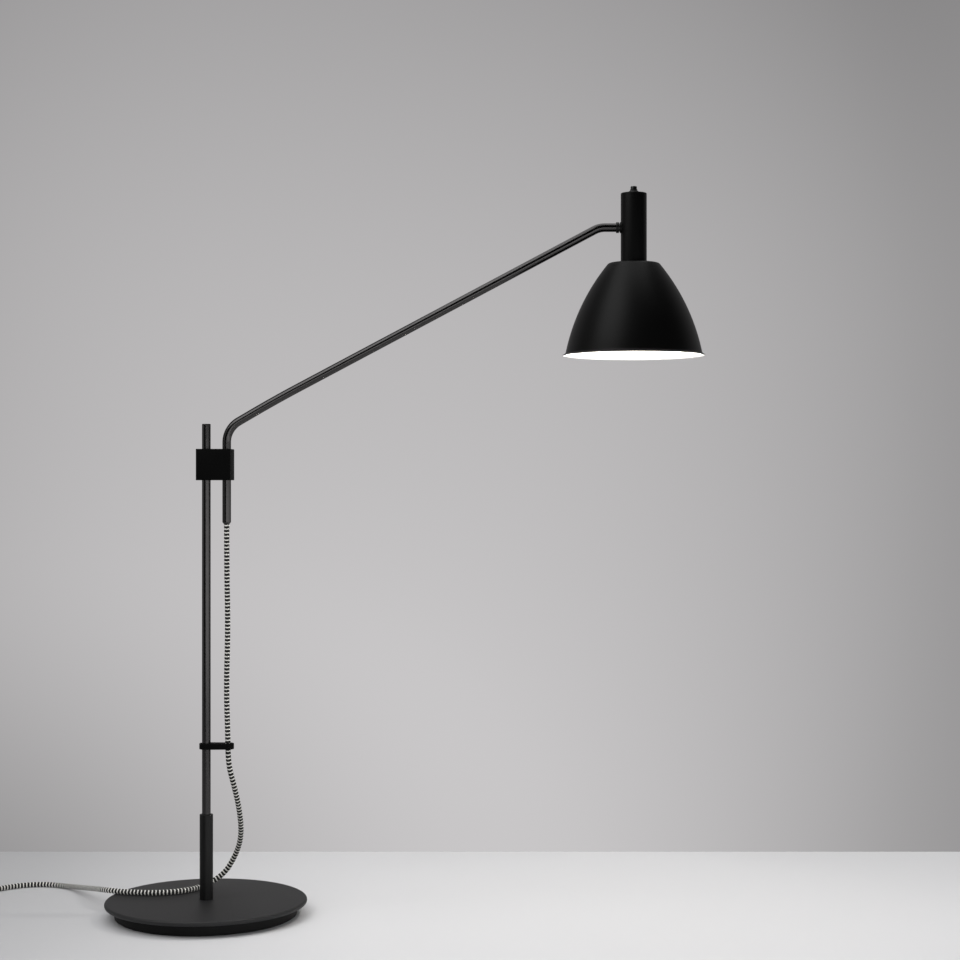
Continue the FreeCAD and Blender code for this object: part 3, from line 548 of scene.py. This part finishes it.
def coilPoints():
    route = [Vector(point) for point in cordRoute]
    heading = (route[-1] - route[-2]).normalized()
    rate = (cordSetup["diameter"] + cordSetup["coilGap"]) / math.tau
    leadIn = route[-1] + heading * cordSetup["diameter"]
    start = math.atan2(heading.y, heading.x) + math.pi / 2 + math.atan2(rate, cordSetup["coilRadius"])
    centre = leadIn - polar(start, cordSetup["coilRadius"])
    turns = cordSetup["lowerTurns"] + 0.5 + cordSetup["upperTurns"]
    swell = 1 / math.cos(math.pi / cordSetup["pointsPerTurn"])    # the spline runs inside its points
    points = []
    for index in range(round(turns * cordSetup["pointsPerTurn"])):
        travel = math.tau * (index + 0.5) / cordSetup["pointsPerTurn"]
        radius, rise = coilState(travel)
        points.append(centre + polar(start - travel, radius * swell, rise))
    radius, rise = coilState(math.tau * turns)
    angle = start - math.tau * turns
    leave = polar(angle - math.pi / 2, radius) + polar(angle, rate)
    return points, centre + polar(angle, radius, rise), leave.normalized()


def cordPoints():
    turns, end, heading = coilPoints()
    start = end + heading * cordSetup["diameter"]
    clear = start + heading * cordSetup["tailLevel"]
    low = clear + heading * cordSetup["tailSlope"]
    low.z = cordSetup["tailHeight"]
    last = low + heading * cordSetup["tailLevel"]
    return [Vector(point) for point in cordRoute] + turns + [start, clear, low, last], heading


def splineLine(points):
    curve = bpy.data.curves.new("cordLine", "CURVE")
    curve.dimensions = "3D"
    curve.resolution_u = 12
    spline = curve.splines.new("NURBS")
    spline.points.add(len(points) - 1)
    for knot, point in zip(spline.points, points):
        knot.co = (*point, 1)
    spline.order_u = 3
    spline.use_endpoint_u = True
    line = addObject("cordLine", curve)
    mesh = bpy.data.meshes.new_from_object(line)
    read = [vert.co.copy() for vert in mesh.vertices]
    bpy.data.objects.remove(line)
    return read


# a frame at each point of a line: its place, its way, and a side that never twists
def lineFrames(points):
    frames = []
    side = Vector((0, 1, 0))
    travelled = 0.0
    for index, point in enumerate(points):
        before, after = points[max(index - 1, 0)], points[min(index + 1, len(points) - 1)]
        way = (after - before).normalized()
        side = (side - way * side.dot(way)).normalized()
        travelled += (point - points[max(index - 1, 0)]).length
        matrix = Matrix((way.cross(side), side, -way)).transposed()
        if matrix.determinant() < 0:
            matrix = Matrix((side.cross(way), side, way)).transposed()
        frames.append((Matrix.Translation(point) @ matrix.to_4x4(), travelled))
    return frames


def sweep(frames, radius, sides):
    bm = bmesh.new()
    along = bm.verts.layers.float.new("along")
    around = bm.verts.layers.float.new("around")
    first = bmesh.ops.create_circle(bm, segments=sides, radius=radius, matrix=frames[0][0])["verts"]
    for index, vert in enumerate(first):
        vert[along], vert[around] = frames[0][1], index / sides
    ring = edgesOf(first)
    ends = [ring]
    for (before, _), (here, travelled) in zip(frames, frames[1:]):
        verts, ring = farRing(bmesh.ops.extrude_edge_only(bm, edges=ring)["geom"])
        bmesh.ops.transform(bm, matrix=here @ before.inverted(), verts=verts)
        for vert in verts:
            vert[along] = travelled
    ends.append(ring)
    uv = bm.loops.layers.uv.new("braid")
    for face in bm.faces:
        seam = max(loop.vert[around] for loop in face.loops) > 0.9
        for loop in face.loops:
            turn = loop.vert[around]
            loop[uv].uv = (loop.vert[along] * mm, 1.0 if seam and turn < 0.1 else turn)
    for end in ends:
        bmesh.ops.contextual_create(bm, geom=end)
    bmesh.ops.recalc_face_normals(bm, faces=bm.faces)
    return bm


def cordPiece(name, frames):
    bm = sweep(frames, cordSetup["diameter"] / 2, cordSetup["sides"])
    piece = makeObject(bm, name, braid)
    smoothPiece(piece, 60)
    return piece


plugSetup = {
    "reliefLength": 24.0, "reliefStart": 5.2, "reliefEnd": 3.9, "ribs": 6, "ribDepth": 0.5, "ribEase": 0.2,
    "length": 36.0, "front": 26.0, "rear": 13.0, "thickness": 13.5, "shoulder": 12.0, "edge": 2.5,
    "grips": 4, "gripFrom": 12, "gripStep": 3.2, "gripSize": (1.2, 12.0, 1.2), "pinRadius": 2.0,
    "pinLength": 19.0, "pinEdge": 0.8, "pinSpacing": 18.6, "sleeveLength": 9.0, "sleeveRadius": 1.95,
}


def plugPlace(end, heading):
    turn = Matrix.Rotation(math.atan2(heading.y, heading.x), 4, "Z")
    return Matrix.Translation(end) @ turn


def makeRelief(place):
    length, start, end = take(plugSetup, "reliefLength", "reliefStart", "reliefEnd")
    ringZ = length / (2 * plugSetup["ribs"])
    ease = ringZ * plugSetup["ribEase"]
    profile = [(0, 0), (end, 0)]
    for index in range(1, plugSetup["ribs"] * 2):
        z = index * ringZ
        wide = end + (start - end) * z / length
        profile += [(wide, z - ease), (wide - (plugSetup["ribDepth"] if index % 2 else 0.0), z + ease)]
    profile += [(start, length), (0, length)]
    bm = lathe(profile, 40, closed=False)
    turnBy(bm, place @ alongX)
    return makePiece(bm, "plugRelief", plugPvc, "base", "plug_plastic", "plug_relief")


def makePlugBody(place):
    rear, front = plugSetup["reliefLength"], plugSetup["reliefLength"] + plugSetup["length"]
    half, waist = plugSetup["thickness"] / 2, front - plugSetup["shoulder"]
    narrow, wide = plugSetup["rear"] / 2, plugSetup["front"] / 2
    bm = bmesh.new()
    outline = [(rear, -narrow), (waist, -wide), (front, -wide), (front, wide), (waist, wide), (rear, narrow)]
    face = bm.faces.new([bm.verts.new((x, y, -half)) for x, y in outline])
    raised = bmesh.ops.extrude_face_region(bm, geom=[face])["geom"]
    bmesh.ops.translate(bm, verts=onlyVerts(raised), vec=(0, 0, plugSetup["thickness"]))
    bmesh.ops.recalc_face_normals(bm, faces=bm.faces)
    bevelEdges(bm, bm.edges[:], plugSetup["edge"], 5)
    turnBy(bm, place)
    piece = makePiece(bm, "plugBody", plugPvc, "base", "plug_plastic", "plug_body")
    grips = bmesh.new()
    for index in range(plugSetup["grips"]):
        for level in (-half, half):
            spot = (rear + plugSetup["gripFrom"] + index * plugSetup["gripStep"], 0, level)
            made = bmesh.ops.create_cube(grips, size=1)["verts"]
            bmesh.ops.scale(grips, verts=made, vec=plugSetup["gripSize"])
            bmesh.ops.translate(grips, verts=made, vec=spot)
    turnBy(grips, place)
    cutAway(piece, grips)
    return piece


def makePins(place):
    front = plugSetup["reliefLength"] + plugSetup["length"]
    sleeve, sleeveEnd, radius, tip = take(plugSetup, "sleeveRadius", "sleeveLength", "pinRadius", "pinLength")
    bm = bmesh.new()
    for side in (-1, 1):
        spot = place @ Matrix.Translation((front, side * plugSetup["pinSpacing"] / 2, 0)) @ alongX
        pin = lathe([(0, 0), (sleeve, 0), (sleeve, sleeveEnd), (radius, sleeveEnd), (radius, tip), (0, tip)],
                    32, closed=False)
        bevelRim(pin, radius, tip, plugSetup["pinEdge"], 4)
        for face in pin.faces:
            face.material_index = 1 if face.calc_center_median().z < sleeveEnd - 0.01 else 0
        turnBy(pin, spot)
        mesh = bpy.data.meshes.new("pin")
        pin.to_mesh(mesh)
        bm.from_mesh(mesh)
        pin.free()
    piece = makeObject(bm, "plugPins", nickel, plugPvc)
    smoothPiece(piece)
    dress(piece, "base", ["plug_pins"])
    return piece


def makeCord():
    points, heading = cordPoints()
    frames = lineFrames(splineLine(points))
    joins = [0]
    for height in cordJoins:
        joins.append(next(i for i, (matrix, _) in enumerate(frames) if matrix.translation.z < height))
    top, twist, hang, run = [frames[a:b + 1] for a, b in zip(joins, joins[1:] + [len(frames) - 1])]
    place = plugPlace(frames[-1][0].translation, heading)
    plugPieces = [makeRelief(place), makePlugBody(place), makePins(place)]

    for name, part, upper, lower in (("cordTop", top, "arm", "arm_bush"),
                                     ("cordTwist", twist, "block", "post_bush")):
        piece = cordPiece(name, part)
        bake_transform(piece)
    cordHang = cordPiece("cordHang", hang)
    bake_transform(cordHang)
    cordRun = cordPiece("cordRun", run)
    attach(cordRun, "base")
    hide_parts("cord_drop", "cord_lead", "cord_coil", "cord_tail")
    print("cord laid,", round(frames[-1][1]), "mm in all")


# base

baseSetup = {
    "padRadius": 101.5, "padTop": 1.5, "padEdge": 0.3, "weightRadius": 104.5, "weightTop": 13.5,
    "weightEdge": 0.8, "recessRadius": 12.0, "recessTop": 11.5, "plateRadius": 116.0, "plateTop": 19.0,
    "plateEdge": 2.7,
}


def makeBase():
    low, middle, top = take(baseSetup, "padTop", "weightTop", "plateTop")
    rim = baseSetup["padRadius"]
    pad = lathe(ringProfile(0, rim, 0, low), 144, closed=False)
    bevelRim(pad, rim, 0, baseSetup["padEdge"], 2)
    makePiece(pad, "basePad", moulded, "base", "pad_rubber", "base_pad")
    rim, recess, deep = take(baseSetup, "weightRadius", "recessRadius", "recessTop")
    weight = lathe([(recess, low), (rim, low), (rim, middle), (0, middle), (0, deep), (recess, deep)], 144)
    bevelRim(weight, rim, low, baseSetup["weightEdge"], 3)
    makePiece(weight, "baseWeight", castIron, "base", "weight_iron", "base_weight")
    rim = baseSetup["plateRadius"]
    plate = lathe(ringProfile(0, rim, middle, top), 180, closed=False)
    for level in (middle, top):
        bevelRim(plate, rim, level, baseSetup["plateEdge"], 8)
    makePiece(plate, "basePlate", powderCoat, "base", "base_paint", "base_plate")


# post

postSetup = {
    "socketRadius": 7.7, "socketTop": 117.0, "socketBore": 5.05, "socketEdge": 0.5, "tubeFoot": 47.0,
    "tubeRadius": 5.0, "tubeBore": 4.0, "tubeTop": 566.1, "capTop": 567.6, "capPlug": 8.0, "capEdge": 0.7,
    "screwZ": 59.0, "screwRadius": 2.0, "screwLength": 2.5, "screwKey": 2.0, "screwFace": 7.55,
    "screwHole": 2.1, "holeFrom": 4.5, "holeLength": 6,
}


def makePost():
    radius, bore, top = take(postSetup, "socketRadius", "socketBore", "socketTop")
    foot, inner, outer = take(postSetup, "tubeFoot", "tubeBore", "tubeRadius")
    low = baseSetup["plateTop"]
    socket = lathe([(0, low), (radius, low), (radius, top), (bore, top), (bore, foot), (0, foot)],
                   72, closed=False)
    bevelRim(socket, radius, top, postSetup["socketEdge"], 3)
    piece = makePiece(socket, "postSocket", blackNickel, "base", "plain_steel", "post_socket")
    hole = bmesh.new()
    addRod(hole, postSetup["screwHole"], postSetup["holeLength"],
           (0, postSetup["holeFrom"], postSetup["screwZ"]), alongY)
    cutAway(piece, hole)
    screw, key = setScrew(*take(postSetup, "screwRadius", "screwLength", "screwKey"))
    for bm in (screw, key):
        move(bm, (0, postSetup["screwFace"], postSetup["screwZ"]), alongY)
    cutAway(makePiece(screw, "postScrew", blackOxide, "base", "plain_steel", "post_screw"), key)
    top, capTop = postSetup["tubeTop"], postSetup["capTop"]
    tube = lathe(ringProfile(inner, outer, foot, top), 64)
    makePiece(tube, "postTube", graphiteTube, "base", "tube_paint", "post_tube")
    plug, low = inner - 0.05, top - postSetup["capPlug"]
    cap = lathe([(0, low), (plug, low), (plug, top), (outer, top), (outer, capTop), (0, capTop)],
                64, closed=False)
    bevelRim(cap, outer, capTop, postSetup["capEdge"], 4)
    makePiece(cap, "postCap", graphiteTube, "base", "tube_paint", "post_cap")


# clip that holds the cord beside the post

clipSetup = {
    "bottom": 192.2, "height": 6.8, "postRadius": 8.1, "cordRadius": 7.0, "cordX": 24.9, "edge": 0.7,
    "postHole": 5.05, "cordHole": 3.55, "slot": 3.2,
}


def makeClip():
    bm = bmesh.new()
    bottom, height, cordX = take(clipSetup, "bottom", "height", "cordX")
    for level in (bottom, bottom + height):
        for x, radius in ((0, clipSetup["postRadius"]), (cordX, clipSetup["cordRadius"])):
            bmesh.ops.create_circle(bm, segments=96, radius=radius, matrix=Matrix.Translation((x, 0, level)))
    hull = bmesh.ops.convex_hull(bm, input=bm.verts)
    inside = onlyVerts(hull["geom_interior"] + hull["geom_unused"])
    bmesh.ops.delete(bm, geom=list(dict.fromkeys(inside)), context="VERTS")
    bmesh.ops.dissolve_limit(bm, angle_limit=0.01, verts=bm.verts, edges=bm.edges)
    rims = [edge for edge in bm.edges
            if riseOf(edge) < 0.01 and len(edge.link_faces) == 2 and edge.calc_face_angle(0) > 1]
    bevelEdges(bm, rims, clipSetup["edge"], 4)
    piece = makePiece(bm, "cordClip", blackAnodised, "clip", "block_paint", "cord_clip")
    for x, radius in ((0, clipSetup["postHole"]), (cordX, clipSetup["cordHole"])):
        hole = bmesh.new()
        addRod(hole, radius, height + 2, (x, 0, bottom - 1), sides=64)
        cutAway(piece, hole)
    opening = bmesh.new()
    slot = bmesh.ops.create_cube(opening, size=1)["verts"]
    reach = clipSetup["cordRadius"] + 1
    bmesh.ops.scale(opening, verts=slot, vec=(clipSetup["slot"], reach, height + 2))
    bmesh.ops.translate(opening, verts=slot, vec=(cordX, reach / 2, bottom + height / 2))
    cutAway(piece, opening)


# block that joins the post and the arm

blockSetup = {
    "left": -9.6, "right": 30.0, "halfDepth": 18.0, "bottom": 502.5, "top": 538.5, "corner": 0.8,
    "rim": 0.4, "postBore": 6.55, "armBore": 5.75, "brakeRadius": 3.0, "brakeLength": 5.0, "brakeKey": 3.0,
    "brakeDepth": 10, "brakeHole": 3.05, "holeLength": 20, "recess": 0.5, "linerBore": 5.05,
    "linerEdge": 0.2, "postLiner": 6.5, "armLiner": 5.7,
}


def makeBlock():
    bm = bmesh.new()
    bmesh.ops.create_cube(bm, size=1)
    left, right, bottom, top = take(blockSetup, "left", "right", "bottom", "top")
    bmesh.ops.scale(bm, verts=bm.verts, vec=(right - left, 2 * blockSetup["halfDepth"], top - bottom))
    move(bm, ((left + right) / 2, 0, (top + bottom) / 2))
    upright = [edge for edge in bm.edges if riseOf(edge) > 1]
    bevelEdges(bm, upright, blockSetup["corner"], 4)
    rims = [edge for edge in bm.edges if riseOf(edge) < 0.01 and edge.calc_face_angle(0) > 1]
    bevelEdges(bm, rims, blockSetup["rim"], 2)
    piece = makePiece(bm, "clampBlock", blackAnodised, "block", "block_paint", "clamp_block")
    middle = (top + bottom) / 2
    bores = (("postBrake", 0, blockSetup["postBore"]), ("armBrake", armX, blockSetup["armBore"]))
    for _, x, radius in bores:
        hole = bmesh.new()
        addRod(hole, radius, top - bottom + 2, (x, 0, bottom - 1), sides=72)
        cutAway(piece, hole)
        hole = bmesh.new()
        addRod(hole, blockSetup["brakeHole"], blockSetup["holeLength"], (x, radius - 1, middle), alongY)
        cutAway(piece, hole)
    sizes = take(blockSetup, "brakeRadius", "brakeLength", "brakeKey")
    screws = [addScrew(name, sizes, (x, radius + blockSetup["brakeDepth"], middle), alongY, "block")
              for name, x, radius in bores]
    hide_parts("brake_screws")
    low, high, bore = bottom + blockSetup["recess"], top - blockSetup["recess"], blockSetup["linerBore"]
    for name, x, body, node in (("postLiner", 0, "post_bush", "post_liner"),
                                ("armLiner", armX, "arm_bush", "arm_liner")):
        bm = lathe(ringProfile(bore, blockSetup[name], low, high), 64)
        for level in (low, high):
            bevelRim(bm, bore, level, blockSetup["linerEdge"], 2)
        move(bm, (x, 0, 0))
        makePiece(bm, name, nylon, body, "nylon", node)


# arm: one tube, bent three times

armSetup = {
    "foot": 454.3, "radius": 5.0, "wall": 1.0, "angles": (90.0, 30.35, 28.02, 0.0),
    "runs": (108.0, 65.1, 423.6, 19.5), "bends": (28.0, 1400.0, 27.0), "steps": (28, 6, 16), "sides": 64,
    "glandNose": 3.5, "glandTop": 462.3, "glandFoot": 452.2, "glandBore": 2.55, "glandPlug": 3.95,
}


def makeArm():
    bm = bmesh.new()
    place = Vector((armX, 0, armSetup["foot"]))
    ring = bmesh.ops.create_circle(bm, segments=armSetup["sides"], radius=armSetup["radius"],
                                   matrix=Matrix.Translation(place))["verts"]
    last = ring + edgesOf(ring)
    angles = [math.radians(angle) for angle in armSetup["angles"]]
    reaches = [radius * math.tan((a - b) / 2) for radius, a, b in zip(armSetup["bends"], angles, angles[1:])]
    for index, run in enumerate(armSetup["runs"]):
        straight = run - sum(reaches[max(index - 1, 0):index + 1])
        way = Vector((math.cos(angles[index]), 0, math.sin(angles[index])))
        edges = [item for item in last if isinstance(item, bmesh.types.BMEdge)]
        verts, edges = farRing(bmesh.ops.extrude_edge_only(bm, edges=edges)["geom"])
        bmesh.ops.translate(bm, verts=verts, vec=way * straight)
        last = verts + edges
        place = place + way * straight
        if index < len(reaches):
            inward = Vector((way.z, 0, -way.x)) * armSetup["bends"][index]
            turn = angles[index] - angles[index + 1]
            last = bmesh.ops.spin(bm, geom=last, cent=place + inward, axis=(0, 1, 0), angle=turn,
                                  steps=armSetup["steps"][index])["geom_last"]
            place = place + inward + Matrix.Rotation(turn, 3, "Y") @ -inward
    bmesh.ops.recalc_face_normals(bm, faces=bm.faces)
    bmesh.ops.solidify(bm, geom=bm.faces[:], thickness=armSetup["wall"])
    makePiece(bm, "armTube", graphiteTube, "arm", "tube_paint", "arm_tube")
    low, foot, top, bore, plug = take(armSetup, "glandFoot", "foot", "glandTop", "glandBore", "glandPlug")
    gland = lathe([(bore, low), (armSetup["glandNose"], low), (armSetup["radius"], foot), (plug, foot),
                   (plug, top), (bore, top)], 48)
    move(gland, (armX, 0, 0))
    makePiece(gland, "armGland", nylon, "arm", "nylon", "arm_gland")


# swivel between the arm's end and the head, along +X

swivelSetup = {
    "z": 794.19, "armEnd": 473.13, "collarRadius": 6.25, "collar": 3.2, "collarEdge": 0.4, "journal": 4.0,
    "journalEnd": 488.1, "bore": 2.55, "spigot": 3.95, "spigotLength": 10.0, "neckRadius": 4.8,
    "neckStart": 476.33, "neckEnd": 477.48, "seatRadius": 6.35, "seatStart": 477.53, "seatEdge": 0.3,
    "seatCut": 14.98, "play": 0.05,
}


def makeSwivel():
    place = (0, 0, swivelSetup["z"])
    start, end = swivelSetup["armEnd"], swivelSetup["armEnd"] + swivelSetup["collar"]
    deep, tip = start - swivelSetup["spigotLength"], swivelSetup["journalEnd"]
    bore, spigot, collar, journal = take(swivelSetup, "bore", "spigot", "collarRadius", "journal")
    pin = lathe([(bore, deep), (spigot, deep), (spigot, start), (collar, start), (collar, end),
                 (journal, end), (journal, tip), (bore, tip)], 64)
    for level in (start, end):
        bevelRim(pin, collar, level, swivelSetup["collarEdge"], 3)
    move(pin, place, alongX)
    makePiece(pin, "swivelPin", blackNickel, "arm", "tube_paint", "swivel_pin")
    bore = journal + swivelSetup["play"]
    washer = lathe(ringProfile(bore, *take(swivelSetup, "neckRadius", "neckStart", "neckEnd")), 48)
    move(washer, place, alongX)
    makePiece(washer, "neckWasher", nylon, "arm", "nylon", "neck_washer")
    rim, start = swivelSetup["seatRadius"], swivelSetup["seatStart"]
    seat = lathe(ringProfile(bore, rim, start, headX), 64)
    bevelRim(seat, rim, start, swivelSetup["seatEdge"], 3)
    move(seat, place, alongX)
    piece = makePiece(seat, "swivelSeat", mattBlack, "head", "shade_paint", "swivel_seat")
    wall = bmesh.new()
    addRod(wall, swivelSetup["seatCut"], 40, (headX, 0, swivelSetup["z"] - 20), sides=144)
    cutAway(piece, wall)


# head: housing, lamp holder, shade, bulb and switch

headSetup = {
    "housingRadius": 15.0, "housingBore": 13.5, "housingTop": 833.99, "roof": 2.5, "housingEdge": 1.0,
    "bushHole": 4.35, "pinHole": 4.05, "screwAngles": (60, 120), "screwZ": 761.19, "screwRadius": 1.5,
    "screwLength": 4.0, "screwKey": 1.5, "screwFace": 14.7, "screwHole": 1.6, "holeFrom": 11,
    "shadeTop": 753.19, "holderTop": 780.19, "holderRadius": 13.45, "holderBore": 8.3, "boreTop": 768.19,
    "boreEdge": 0.3, "skirtFoot": 741.19, "skirtRadius": 11.9, "skirtEdge": 0.5, "ringRadius": 17.0,
    "ringBottom": 746.19, "ringHeight": 6, "ringEdge": 0.6, "ringPlay": 0.05,
}


def makeHousing():
    top, foot = headSetup["housingTop"], headSetup["shadeTop"]
    outer, inner, roof = headSetup["housingRadius"], headSetup["housingBore"], top - headSetup["roof"]
    bm = lathe([(inner, foot), (outer, foot), (outer, top), (headSetup["bushHole"], top),
                (headSetup["bushHole"], roof), (inner, roof)], 144)
    bevelRim(bm, outer, top, headSetup["housingEdge"], 5)
    move(bm, (headX, 0, 0))
    piece = makePiece(bm, "headHousing", mattBlack, "head", "shade_paint", "head_housing")
    holes = bmesh.new()
    addRod(holes, headSetup["pinHole"], 8, (headX - 20, 0, swivelSetup["z"]), alongX, sides=48)
    places = []
    for angle in headSetup["screwAngles"]:
        turn = Matrix.Rotation(math.radians(angle), 4, "Z") @ alongX
        outward = Vector((math.cos(math.radians(angle)), math.sin(math.radians(angle)), 0))
        spot = Vector((headX, 0, headSetup["screwZ"]))
        addRod(holes, headSetup["screwHole"], 6, spot + outward * headSetup["holeFrom"], turn, sides=32)
        places.append((spot + outward * headSetup["screwFace"], turn))
    cutAway(piece, holes)
    sizes = take(headSetup, "screwRadius", "screwLength", "screwKey")
    screws = [addScrew(f"housingScrew{index}", sizes, spot, turn, "head")
              for index, (spot, turn) in enumerate(places, 1)]
    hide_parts("housing_screws")


def makeHolder():
    foot, skirt, bore = take(headSetup, "skirtFoot", "skirtRadius", "holderBore")
    shelf, body, top, end = take(headSetup, "shadeTop", "holderRadius", "holderTop", "boreTop")
    bm = lathe([(bore, foot), (skirt, foot), (skirt, shelf), (body, shelf), (body, top), (0, top), (0, end),
                (bore, end)], 96)
    bevelRim(bm, skirt, foot, headSetup["skirtEdge"], 3)
    bevelRim(bm, bore, foot, headSetup["boreEdge"], 2)
    move(bm, (headX, 0, 0))
    makePiece(bm, "lampHolder", phenolic, "head", "holder_plastic", "lampholder")
    inner, rim, low = skirt + headSetup["ringPlay"], headSetup["ringRadius"], headSetup["ringBottom"]
    ring = lathe(ringProfile(inner, rim, low, low + headSetup["ringHeight"]), 96)
    bevelRim(ring, rim, low, headSetup["ringEdge"], 2)
    move(ring, (headX, 0, 0))
    makePiece(ring, "shadeRing", phenolic, "head", "holder_plastic", "shade_ring")


shadeSetup = {
    "hole": 12.0, "flat": 27.0, "shoulderRadius": 4.5, "shoulderAngle": 39.0, "bellRadius": 238.0,
    "bellDrop": 101.2, "lipRadius": 3.5, "lipAngle": 27.0, "lipLength": 1.7, "wall": 1.0,
}


# the bell's outline is drawn by turning one point about each arc's centre, then it is spun round
def makeShade():
    bm = bmesh.new()
    first = bm.verts.new((shadeSetup["hole"], 0, headSetup["shadeTop"]))
    last = bm.verts.new((shadeSetup["flat"], 0, headSetup["shadeTop"]))
    bm.edges.new((first, last))
    shoulder = math.radians(shadeSetup["shoulderAngle"])
    low = math.asin(math.sin(shoulder) - shadeSetup["bellDrop"] / shadeSetup["bellRadius"])
    lipUp = math.radians(90 - shadeSetup["lipAngle"])
    arcs = [(shadeSetup["shoulderRadius"], math.pi / 2, shoulder, 8),
            (shadeSetup["bellRadius"], shoulder, low, 40), (-shadeSetup["lipRadius"], low, lipUp, 8)]
    for radius, start, end, steps in arcs:
        outward = Vector((math.cos(start), 0, math.sin(start)))
        made = bmesh.ops.spin(bm, geom=[last], cent=last.co - outward * radius, axis=(0, 1, 0),
                              angle=start - end, steps=steps)["geom_last"]
        last = made[0]
    lip = bm.verts.new(last.co + Vector((math.sin(lipUp), 0, -math.cos(lipUp))) * shadeSetup["lipLength"])
    bm.edges.new((last, lip))
    bmesh.ops.remove_doubles(bm, verts=bm.verts, dist=0.0005)
    spinRound(bm, 160)
    if max(bm.faces, key=lambda face: face.calc_center_median().z).normal.z < 0:
        bmesh.ops.reverse_faces(bm, faces=bm.faces)
    bmesh.ops.solidify(bm, geom=bm.faces[:], thickness=shadeSetup["wall"])
    bm.normal_update()
    for face in bm.faces:
        centre = face.calc_center_median()
        outward = Vector((centre.x, centre.y, 0)).normalized() + Vector((0, 0, 1))
        face.material_index = 0 if face.normal.dot(outward) > -0.05 else 1
    move(bm, (headX, 0, 0))
    piece = makeObject(bm, "shade", mattBlack, whiteEnamel)
    smoothPiece(piece)
    dress(piece, "head", ["shade"])


bulbSetup = {
    "centre": 710.89, "radius": 22.5, "touch": 37.23, "neck": 6.6, "neckFoot": 739.39, "neckTop": 748.39,
}


def makeBulb():
    bm = bmesh.new()
    last = bm.verts.new((0, 0, bulbSetup["centre"] - bulbSetup["radius"]))
    last = bmesh.ops.spin(bm, geom=[last], cent=(0, 0, bulbSetup["centre"]), axis=(0, 1, 0),
                          angle=-math.radians(90 + bulbSetup["touch"]), steps=28)["geom_last"][0]
    for z in (bulbSetup["neckFoot"], bulbSetup["neckTop"]):
        made = bm.verts.new((bulbSetup["neck"], 0, z))
        bm.edges.new((last, made))
        last = made
    bm.edges.new((last, bm.verts.new((0, 0, bulbSetup["neckTop"]))))
    spinRound(bm, 64)
    move(bm, (headX, 0, 0))
    makePiece(bm, "bulb", opalBulb(), "head", "bulb_glass", "bulb_glass")


switchSetup = {
    "nutRadius": 5.75, "nutBore": 4.35, "nutHeight": 2.6, "nutEdge": 1.2,
    "knobRadius": 3.65, "knobTop": 841.99, "knobFoot": 829.0, "knobEdge": 1.0,
}


def makeSwitch():
    low, rim = headSetup["housingTop"], switchSetup["nutRadius"]
    top = low + switchSetup["nutHeight"]
    nut = lathe(ringProfile(switchSetup["nutBore"], rim, low, top), 64)
    bevelRim(nut, rim, top, switchSetup["nutEdge"], 3)
    move(nut, (headX, 0, 0))
    makePiece(nut, "switchNut", blackNickel, "head", "plain_steel", "switch_nut")
    rim, top = switchSetup["knobRadius"], switchSetup["knobTop"]
    knob = lathe(ringProfile(0, rim, switchSetup["knobFoot"], top), 56, closed=False)
    bevelRim(knob, rim, top, switchSetup["knobEdge"], 5)
    move(knob, (headX, 0, 0))
    makePiece(knob, "switchKnob", knobPlastic, "button", "button_plastic", "switch_button")


bpy.context.scene.view_settings.view_transform = "Standard"
makeCamera()
makeWorld()
makeTable()
softLight("topLight", (350, 250, 2500), (350, 0, 0), (2000, 2000), 22)
softLight("leftLight", (-900, -950, 2150), (350, 0, 600), (1600, 1600), 24)
softLight("sideLight", (-1700, -500, 800), (300, 0, 600), (1200, 1600), 3.6)
softLight("frontLight", (750, -1650, 300), (0, 0, 300), (2500, 560), 8.4)
softLight("rightLight", (1600, -250, 300), (0, 0, 280), (1300, 560), 3.2)
bulbLight()
print("studio set")
makeCord()
makeBase()
makePost()
makeClip()
makeBlock()
makeArm()
print("base, post, block and arm made")
makeSwivel()
makeHousing()
makeHolder()
makeShade()
makeBulb()
makeSwitch()
print("head made")

# nodes whose own shape is right get their finish here
nodeFinishes = {
    "base_washer": zincSteel, "base_bolt": zincSteel, "brake_pads": nylon, "arm_lead": plugPvc,
    "swivel_spring": zincSteel, "swivel_nut": zincSteel, "inner_seat": nylon, "head_wires": plugPvc,
    "screw_shell": brass, "centre_contact": brass, "bulb_cap": nickel, "switch_body": knobPlastic,
}
for name, material in nodeFinishes.items():
    materials = frame["nodes"][name].data.materials
    materials.clear()
    materials.append(material)
print("nodes dressed")
